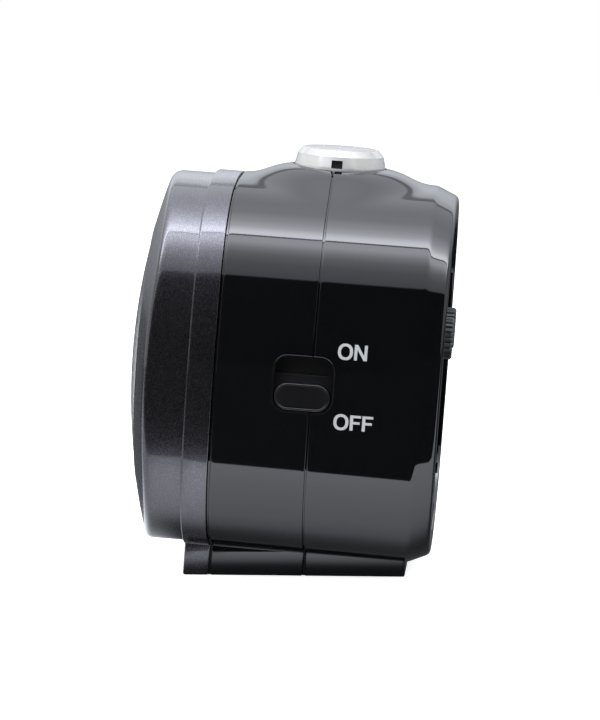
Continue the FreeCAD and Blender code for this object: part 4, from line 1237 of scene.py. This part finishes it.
@dataclass
class Lettering:
    """Words and numbers as thin raised print."""

    thick: float = 0.03
    weight: float = 0.045

    def mesh(self, name: str, text: str, size: float) -> Piece:
        """Makes a filled text mesh in the plane of x and y, centred on the origin.

        Args:
            name: Object name.
            text: What it says.
            size: Letter height in millimetres.

        Returns:
            A mesh object whose corners are in millimetres.
        """
        curve = bpy.data.curves.new(name, "FONT")
        curve.body = text
        curve.size = 1.0
        curve.offset = self.weight / 2
        curve.resolution_u = 8
        curve.align_x = "CENTER"
        holder = place(name, curve)
        mesh = evaluated(holder)
        bpy.data.objects.remove(holder)
        low, high = (Vector(end(v.co[i] for v in mesh.vertices) for i in range(2)) for end in (min, max))
        factor = size / (high.y - low.y)
        middle = (low + high) / 2
        for vertex in mesh.vertices:
            vertex.co = Vector(((vertex.co.x - middle.x) * factor, (vertex.co.y - middle.y) * factor, 0.0))
        return place(name, mesh)

    def lay(self, maker: Maker, made: Piece, seat: Callable[[Vector], Vector], out: Vector, body: str,
            finish: str) -> None:
        """Lays a text mesh on a surface and gives it its thickness.

        Args:
            maker: Mesh maker.
            made: Text mesh in millimetres.
            seat: Turns a flat point into the drum's frame.
            out: Outward direction in the drum's frame.
            body: CAD body that it rides on.
            finish: Finish name.
        """
        seats = [seat(vertex.co.copy()) for vertex in made.data.vertices]
        count, faces, walls = len(seats), [], {}
        for loop in (tuple(polygon.vertices) for polygon in made.data.polygons):
            faces += [(loop[0], *loop[:0:-1]), tuple(count + corner for corner in loop)]
            for start, end in zip(loop, loop[1:] + loop[:1]):
                walls.setdefault(frozenset((start, end)), []).append((start, end, count + end, count + start))
        faces += [found[0] for found in walls.values() if len(found) == 1]
        points = [maker.drum.to_row(point) for point in seats + [point + out * self.thick for point in seats]]
        made.data.clear_geometry()
        made.data.from_pydata(points, [], faces)
        work = bmesh.new()
        work.from_mesh(made.data)
        bmesh.ops.recalc_face_normals(work, faces=work.faces)
        work.to_mesh(made.data)
        work.free()
        maker.palette.dress(made, finish)
        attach(made, body)
        LOG.info("print %s rides on %s", made.name, body)


@dataclass
class Capitals:
    """Plain upright capitals, drawn for a height of one."""

    bowl: Pair = (0.975, 1.06)
    bowl_stroke: Pair = (0.2, 0.175)
    bowl_power: float = 2.25
    bowl_steps: int = 48
    space: float = 0.09

    def bowl_ring(self, inset: Pair) -> Line:
        """Oval of the letter O.

        Args:
            inset: How far it is drawn in, across and up.

        Returns:
            The oval's points.
        """
        line = []
        for step in range(self.bowl_steps):
            turn = 2 * pi * step / self.bowl_steps
            across, up = (copysign(abs(way) ** (2 / self.bowl_power), way) for way in (cos(turn), sin(turn)))
            line.append((self.bowl[0] / 2 + (self.bowl[0] / 2 - inset[0]) * across,
                         0.5 + (self.bowl[1] / 2 - inset[1]) * up))
        return line

    @staticmethod
    def letter_n() -> Line:
        """Outline of the letter N."""
        return [(0.0, 0.0), (0.19, 0.0), (0.19, 0.69), (0.62, 0.0), (0.835, 0.0), (0.835, 1.0), (0.645, 1.0),
                (0.645, 0.31), (0.215, 1.0), (0.0, 1.0)]

    @staticmethod
    def letter_f() -> Line:
        """Outline of the letter F."""
        return [(0.0, 0.0), (0.205, 0.0), (0.205, 0.42), (0.635, 0.42), (0.635, 0.585), (0.205, 0.585),
                (0.205, 0.835), (0.7, 0.835), (0.7, 1.0), (0.0, 1.0)]

    def mesh(self, name: str, text: str, size: float) -> Piece:
        """Makes a word as a flat mesh in the plane of x and y, centred on the origin.

        Args:
            name: Object name.
            text: The word, of the letters O, N and F.
            size: Letter height in millimetres.

        Returns:
            A mesh object whose corners are in millimetres.
        """
        points, faces, pen, count = [], [], 0.0, self.bowl_steps
        for letter in text:
            first = len(points)
            if letter == "O":
                drawn = self.bowl_ring((0.0, 0.0)) + self.bowl_ring(self.bowl_stroke)
                for near, far in ((first + step, first + (step + 1) % count) for step in range(count)):
                    faces.append((near, far, count + far, count + near))
            else:
                drawn = self.letter_n() if letter == "N" else self.letter_f()
                faces.append(tuple(range(first, first + len(drawn))))
            points += [(pen + x, y) for x, y in drawn]
            pen += max(x for x, _ in drawn) + self.space
        middle = (pen - self.space) / 2
        mesh = bpy.data.meshes.new(name)
        mesh.from_pydata([((x - middle) * size, (y - 0.5) * size, 0.0) for x, y in points], [], faces)
        return place(name, mesh)


@dataclass
class SwitchLegends:
    """The words ON and OFF printed behind the alarm switch."""

    height: float = 3.55
    places: dict[Legend, Pair] = field(
        default_factory=lambda: {Legend.ON: (14.1, 8.2), Legend.OFF: (15.4, -8.0)})
    sink: float = 0.01

    def build(self, maker: Maker, lettering: Lettering) -> None:
        """Prints both words on the case's side.

        Args:
            maker: Mesh maker.
            lettering: Lays the print.
        """
        capitals = Capitals()
        for legend, (y, z) in self.places.items():
            def seat(point: Vector, middle: Pair = (y, z)) -> Vector:
                """Wraps a flat point onto the bowed side."""
                height = middle[1] + point.y
                return Vector((maker.drum.side_x(height) - self.sink, middle[0] + point.x, height))

            made = capitals.mesh("legend_" + legend.name.lower(), legend.value, self.height)
            lettering.lay(maker, made, seat, Vector((1.0, 0.0, 0.0)), "case", "legend_white")


@dataclass
class DialFace:
    """Printed dial: numbers and minute track."""

    face_y: float = -30.2
    number_radius: float = 24.6
    number_height: float = 5.4
    track_outer: float = 30.9
    minute_tick: Pair = (1.2, 0.28)
    hour_tick: Pair = (2.2, 0.8)
    thick: float = 0.03
    sink: float = 0.005

    def build(self, maker: Maker, lettering: Lettering) -> None:
        """Prints the numbers and the minute track on the dial.

        Args:
            maker: Mesh maker.
            lettering: Makes and lays the print.
        """
        for number in range(1, 13):
            centre = spoke(30 * number, 0.0)[0] * self.number_radius

            def seat(point: Vector, middle: Vector = centre) -> Vector:
                """Puts a flat point on the dial."""
                return Vector((middle.x + point.x, self.face_y + self.sink, middle.z + point.y))

            made = lettering.mesh("number_%02d" % number, str(number), self.number_height)
            lettering.lay(maker, made, seat, Vector((0.0, -1.0, 0.0)), "case", "numeral_black")
        points, faces = [], []
        for minute in range(60):
            length, width = self.minute_tick if minute % 5 else self.hour_tick
            ahead, side = spoke(6 * minute, width)
            first, outer, inner = len(points), self.track_outer, self.track_outer - length
            for lift in (self.sink, -self.thick):
                for reach, sign in ((outer, 1), (outer, -1), (inner, -1), (inner, 1)):
                    points.append(ahead * reach + side * sign + Vector((0.0, self.face_y + lift, 0.0)))
            for face in ((0, 1, 2, 3), (4, 7, 6, 5), (0, 4, 5, 1), (1, 5, 6, 2), (2, 6, 7, 3), (3, 7, 4, 0)):
                faces.append(tuple(first + corner for corner in face))
        track = maker.piece("minute_track", points, faces, "case", "numeral_black", 60.0)


@dataclass
class HandLume:
    """Pale strips on the hour and minute hands.

    Each hand's row is the strip's name, its body, the hand's front, its angle in degrees and the strip's ends.
    """

    hands: tuple[tuple[str, str, float, float, float, float], ...] = (
        ("hour_lume", "hour", -32.4, 305.3, 5.0, 11.6), ("minute_lume", "minute", -33.4, 63.5, 6.0, 18.0))
    width: float = 0.95
    widening: float = 1.15
    thick: float = 0.05
    sink: float = 0.01

    def build(self, maker: Maker) -> None:
        """Builds a strip on the front of each hand.

        Args:
            maker: Mesh maker.
        """
        for name, body, front, degrees, start, end in self.hands:
            ahead, side = spoke(degrees, self.width)
            rings = []
            for lift in (self.sink, -self.thick):
                out = Vector((0.0, front + lift, 0.0))
                rings.append([ahead * start + side + out, ahead * end + side * self.widening + out,
                              ahead * end - side * self.widening + out, ahead * start - side + out])
            piece = maker.shell(name, rings, body, "lume", capped=True, sharp=40.0)


@dataclass
class BatteryBay:
    """Tray behind the battery door, and the openings of the rear panel."""

    half_length: float = 27.8
    front_y: float = 14.0
    rear_y: float = 28.9
    low_z: float = -27.6
    high_z: float = -12.4
    wall: float = 1.3
    door: Pair = (57.75, 17.4)
    door_z: float = -20.0
    slots: int = 5
    slot: Pair = (12.0, 1.2)
    slot_pitch: float = 3.0
    sounder_z: float = 22.0
    cut_corner: float = 0.6
    cut_y: Pair = (26.0, 36.0)
    scoop_radius: float = 8.0
    scoop_place: Pair = (37.8, -10.45)
    scoop_steps: int = 48

    def cutters(self, maker: Maker) -> list[Piece]:
        """Shapes that open the rear panel: the door, the sounder's slots and the ball of the finger scoop.

        Args:
            maker: Mesh maker.

        Returns:
            The cutters.
        """
        made = [self.bar(maker, self.door, self.door_z)]
        for number in range(self.slots):
            height = self.sounder_z + (number - (self.slots - 1) / 2) * self.slot_pitch
            made.append(self.bar(maker, self.slot, height))
        rings = []
        for turn in (pi * step / self.scoop_steps for step in range(1, self.scoop_steps)):
            y = self.scoop_place[0] - self.scoop_radius * cos(turn)
            rings.append(disc(self.scoop_radius * sin(turn), 0.0, y, self.scoop_place[1], 72))
        return [*made, maker.cutter(rings)]

    def bar(self, maker: Maker, size: Pair, height: float) -> Piece:
        """Bar along the drum with softly rounded corners."""
        flat = round_slot(size, self.cut_corner, 0.0, (0.0, height), 5)
        return maker.cutter([[Vector((point.y, y, point.z)) for point in flat] for y in self.cut_y])

    def build(self, maker: Maker) -> None:
        """Builds the open tray from its inner and outer faces.

        Args:
            maker: Mesh maker.
        """
        rings = []
        for grow, ys in ((0.0, (self.front_y, self.rear_y)), (self.wall, (self.rear_y, self.front_y - self.wall))):
            for y in ys:
                half, low, high = self.half_length + grow, self.low_z - grow, self.high_z + grow
                corners = ((-half, low), (half, low), (half, high), (-half, high))
                rings.append([Vector((x, y, z)) for x, z in corners])
        piece = maker.shell("battery_tray", rings, "case", "inner_black", capped=True, sharp=40.0)


# ---------------------------------------------------------------- studio


def between(stops: Sequence[Pair], spot: float) -> float:
    """Straight-line value at a place among rising stops.

    Args:
        stops: Places and their values.
        spot: The place asked for.

    Returns:
        The value.
    """
    if spot <= stops[0][0]:
        return stops[0][1]
    for (low, first), (high, last) in zip(stops, stops[1:]):
        if spot <= high:
            return first + (last - first) * (spot - low) / (high - low)
    return stops[-1][1]


@dataclass
class GlowSheet:
    """Studio sheet made of rows of points, seen only in reflections."""

    name: str
    rows: list[list[Triple]]
    glow: list[list[float]]

    def build(self) -> None:
        """Builds the sheet and paints its glow onto its points."""
        count = len(self.rows[0])
        faces = []
        for row in range(len(self.rows) - 1):
            for step in range(count - 1):
                first = row * count + step
                faces.append((first, first + 1, first + count + 1, first + count))
        mesh = bpy.data.meshes.new(self.name)
        mesh.from_pydata([point for row in self.rows for point in row], [], faces)
        paint = mesh.attributes.new(GLOW, "FLOAT", "POINT")
        paint.data.foreach_set("value", [level for row in self.glow for level in row])
        sheet = place(self.name, mesh)
        mesh.materials.append(SheetGlow(self.name + "_glow").make())
        sheet.visible_camera = sheet.visible_diffuse = False
        sheet.visible_shadow = sheet.visible_transmission = False


@dataclass
class ReflectionTent:
    """Arched sheet over the clock and a paper under it, as its shiny skins see them.

    The arch runs from the camera side's horizon over the top to the far horizon: a dark room, a near panel that
    grows brighter upwards, a thin gap, a bright strip that fades over the top, a second gap and the far wall. Its
    stops are degrees and strengths. The paper's stops are millimetres from the axis, up to its cut edge; its glow
    is low near the axis and rises outwards, a painted shadow of the clock under it, which fades out towards the
    front.
    """

    radius: float = 1.5
    half_width: float = 2.4
    centre_z: float = 0.049
    arch_steps: int = 120
    arch: Stops = (
        (-3.0, 0.0), (27.6, 0.0),  # dark room
        (29.2, 1.2), (42.0, 1.6), (51.0, 2.4), (57.0, 3.8), (63.5, 6.2), (69.3, 6.2),  # near panel
        (69.6, 1.6), (70.9, 1.6),  # first gap
        (71.3, 13.0), (75.0, 12.0), (81.0, 7.4), (88.5, 5.0), (100.0, 3.0), (115.0, 2.1), (133.0, 1.55),
        (146.0, 1.1),  # strip
        (148.5, 0.5), (151.0, 0.5),  # second gap
        (153.0, 1.2), (160.0, 1.25), (167.0, 0.95), (176.0, 0.45), (184.0, 0.09))  # far wall
    # the paper's glow is low near the axis and rises outwards: a painted shadow of the clock, seen only in
    # reflections
    paper: Stops = (
        (0.0, 0.06), (24.0, 0.1), (29.0, 0.25), (34.0, 0.9), (40.0, 1.5), (50.0, 1.95), (60.0, 2.2), (92.0, 2.7))
    paper_edge: Stops = ((-1600.0, 98.0), (-40.0, 96.5), (40.0, 83.0), (1600.0, 80.0))
    # between these two places along the drum the painted shadow gives way to the front level
    paper_front: Pair = (-30.0, -48.0)
    front_level: float = 1.4
    far_level: float = 0.1
    far_start: float = -50.0
    beyond_level: float = 0.02
    paper_z: float = -0.0003

    def build_arch(self) -> None:
        """Builds the arched sheet."""
        low, high = self.arch[0][0], self.arch[-1][0]
        steps = {low + (high - low) * step / self.arch_steps for step in range(self.arch_steps + 1)}
        degrees = sorted({stop for stop, _ in self.arch} | steps)
        rows = []
        for turn in map(radians, degrees):
            x, z = self.radius * cos(turn), self.centre_z + self.radius * sin(turn)
            rows.append([(x, -self.half_width, z), (x, self.half_width, z)])
        GlowSheet("tent_arch", rows, [[between(self.arch, stop)] * 2 for stop in degrees]).build()

    def paper_level(self, x: float, y: float) -> float:
        """Glow of the paper at a place, low near the axis as a painted shadow of the clock.

        Args:
            x: Millimetres towards the camera side.
            y: Millimetres to the rear.

        Returns:
            The glow's strength.
        """
        beside = self.far_level if x < 0 else between(self.paper, x)
        ahead = self.far_level if x < self.far_start else self.front_level
        share = between(((self.paper_front[1], 1.0), (self.paper_front[0], 0.0)), y)
        return beside + (ahead - beside) * share

    def build_paper(self) -> None:
        """Builds the paper with its cut edge on the camera side."""
        rows, glow = [], []
        ends, far = self.radius / MM, self.far_start
        for y in sorted({stop for stop, _ in self.paper_edge} | {*self.paper_front, 0.0}):
            edge = between(self.paper_edge, y)
            places = [-ends, -200.0, far - 0.1, far + 0.1, -0.1] + [edge * step / 24 for step in range(25)]
            glow.append([self.paper_level(x, y) for x in places] + [self.beyond_level] * 2)
            rows.append([(x * MM, y * MM, self.paper_z) for x in (*places, edge + 0.6, ends)])
        GlowSheet("tent_paper", rows, glow).build()


@dataclass
class Studio:
    """Camera, lamps, reflection tent, white world and pale floor."""

    pitch: float = radians(6.0)
    yaw: float = radians(3.7)
    distance: float = 0.84
    lens: float = 174.0
    sensor: float = 36.0
    sky: Triple = (0.93, 0.95, 1.0)
    sky_level: float = 0.45
    floor_reach: float = 4.0
    floor_lift: float = 0.75
    shift: Pair = (-1.2 / 720, 2.8 / 720)
    target: Triple = (0.0, 0.0, 0.04884)
    lamps: tuple[tuple[str, Triple, float, float], ...] = (
        ("lamp_top", (0.1, -0.1, 1.0), 0.9, 9.0),
        ("lamp_camera_side", (0.95, -0.35, 0.45), 0.7, 5.0),
        ("lamp_front", (0.1, -0.95, 0.5), 0.7, 6.0),
        ("lamp_rear", (-0.3, 0.95, 0.5), 0.7, 6.0))

    def build_camera(self) -> None:
        """Makes the camera at the photograph's angle."""
        data = bpy.data.cameras.new("camera")
        data.lens, data.sensor_width, data.sensor_fit = self.lens, self.sensor, "AUTO"
        data.shift_x, data.shift_y = self.shift
        camera = place("camera", data)
        back = Vector((cos(self.yaw) * cos(self.pitch), sin(self.yaw) * cos(self.pitch), sin(self.pitch)))
        camera.location = Vector(self.target) + back * self.distance
        aim(camera, -back)
        bpy.context.scene.camera = camera

    def build_lamps(self) -> None:
        """Makes the soft lamps. Shiny skins see the tent in their place."""
        for name, where, size, power in self.lamps:
            data = bpy.data.lights.new(name, "AREA")
            data.shape, data.size, data.energy = "SQUARE", size, power
            lamp = place(name, data)
            lamp.location = where
            aim(lamp, Vector(self.target) - Vector(where))
            lamp.visible_glossy = False

    def build_world(self) -> None:
        """Makes the even world, white to the camera and in clear and shiny things."""
        world = bpy.data.worlds.new("studio")
        world.use_nodes = True
        nodes, links = world.node_tree.nodes, world.node_tree.links
        nodes.clear()
        path = nodes.new("ShaderNodeLightPath")
        clear, seen = nodes.new("ShaderNodeMath"), nodes.new("ShaderNodeMath")
        clear.operation = seen.operation = "MAXIMUM"
        links.new(path.outputs["Is Glossy Ray"], clear.inputs[0])
        links.new(path.outputs["Is Transmission Ray"], clear.inputs[1])
        links.new(path.outputs["Is Camera Ray"], seen.inputs[0])
        links.new(clear.outputs[0], seen.inputs[1])
        light, white = nodes.new("ShaderNodeBackground"), nodes.new("ShaderNodeBackground")
        light.inputs["Color"].default_value = (*self.sky, 1.0)
        light.inputs["Strength"].default_value = self.sky_level
        white.inputs["Color"].default_value = WHITE
        mix, output = nodes.new("ShaderNodeMixShader"), nodes.new("ShaderNodeOutputWorld")
        links.new(seen.outputs[0], mix.inputs["Fac"])
        links.new(light.outputs["Background"], mix.inputs[1])
        links.new(white.outputs["Background"], mix.inputs[2])
        links.new(mix.outputs["Shader"], output.inputs["Surface"])
        bpy.context.scene.world = world

    def build_floor(self) -> None:
        """Makes the pale floor that keeps the clock's shadow."""
        mesh = bpy.data.meshes.new("floor")
        far = self.floor_reach
        mesh.from_pydata([(-far, -far, 0), (far, -far, 0), (far, far, 0), (-far, far, 0)], [], [(0, 1, 2, 3)])
        floor = place("floor", mesh)
        tree = NodeTree("floor_paper")
        tree.set(Base_Color=(0.9, 0.9, 0.9, 1.0), Roughness=0.9, Specular_IOR_Level=0.0, Emission_Color=WHITE)
        path = tree.add("LightPath")
        lift = tree.add("Math", operation="MULTIPLY")
        lift.inputs[1].default_value = self.floor_lift
        tree.link(path.outputs["Is Camera Ray"], lift.inputs[0])
        tree.link(lift.outputs[0], tree.shader.inputs["Emission Strength"])
        mesh.materials.append(tree.material)
        floor.visible_glossy = False

    def build(self) -> None:
        """Builds the whole studio."""
        self.build_camera()
        self.build_lamps()
        self.build_world()
        self.build_floor()
        tent = ReflectionTent()
        tent.build_arch()
        tent.build_paper()
        bpy.context.scene.view_settings.view_transform = "Standard"


def main() -> None:
    """Builds every sub-assembly in order."""
    logging.basicConfig(level=logging.INFO, format="%(name)s %(message)s")
    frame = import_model()
    palette = Palette()
    palette.dress_nodes(frame)
    maker = Maker(Drum(), palette)
    opening, button, rear, bay = SwitchOpening(), SnoozeButton(), RearCase(), BatteryBay()
    lettering = Lettering()
    Bezel().build(maker)
    MiddleCase().build(maker, opening, button)
    rear.build(maker, opening, button)
    rear.build_panel(maker, bay)
    bay.build(maker)
    Foot().build(maker)
    opening.build(maker)
    button.build(maker)
    AlarmSwitch().build(maker)
    SwitchLegends().build(maker, lettering)
    DialFace().build(maker, lettering)
    HandLume().build(maker)
    Studio().build()


if __name__ == "__main__":
    main()
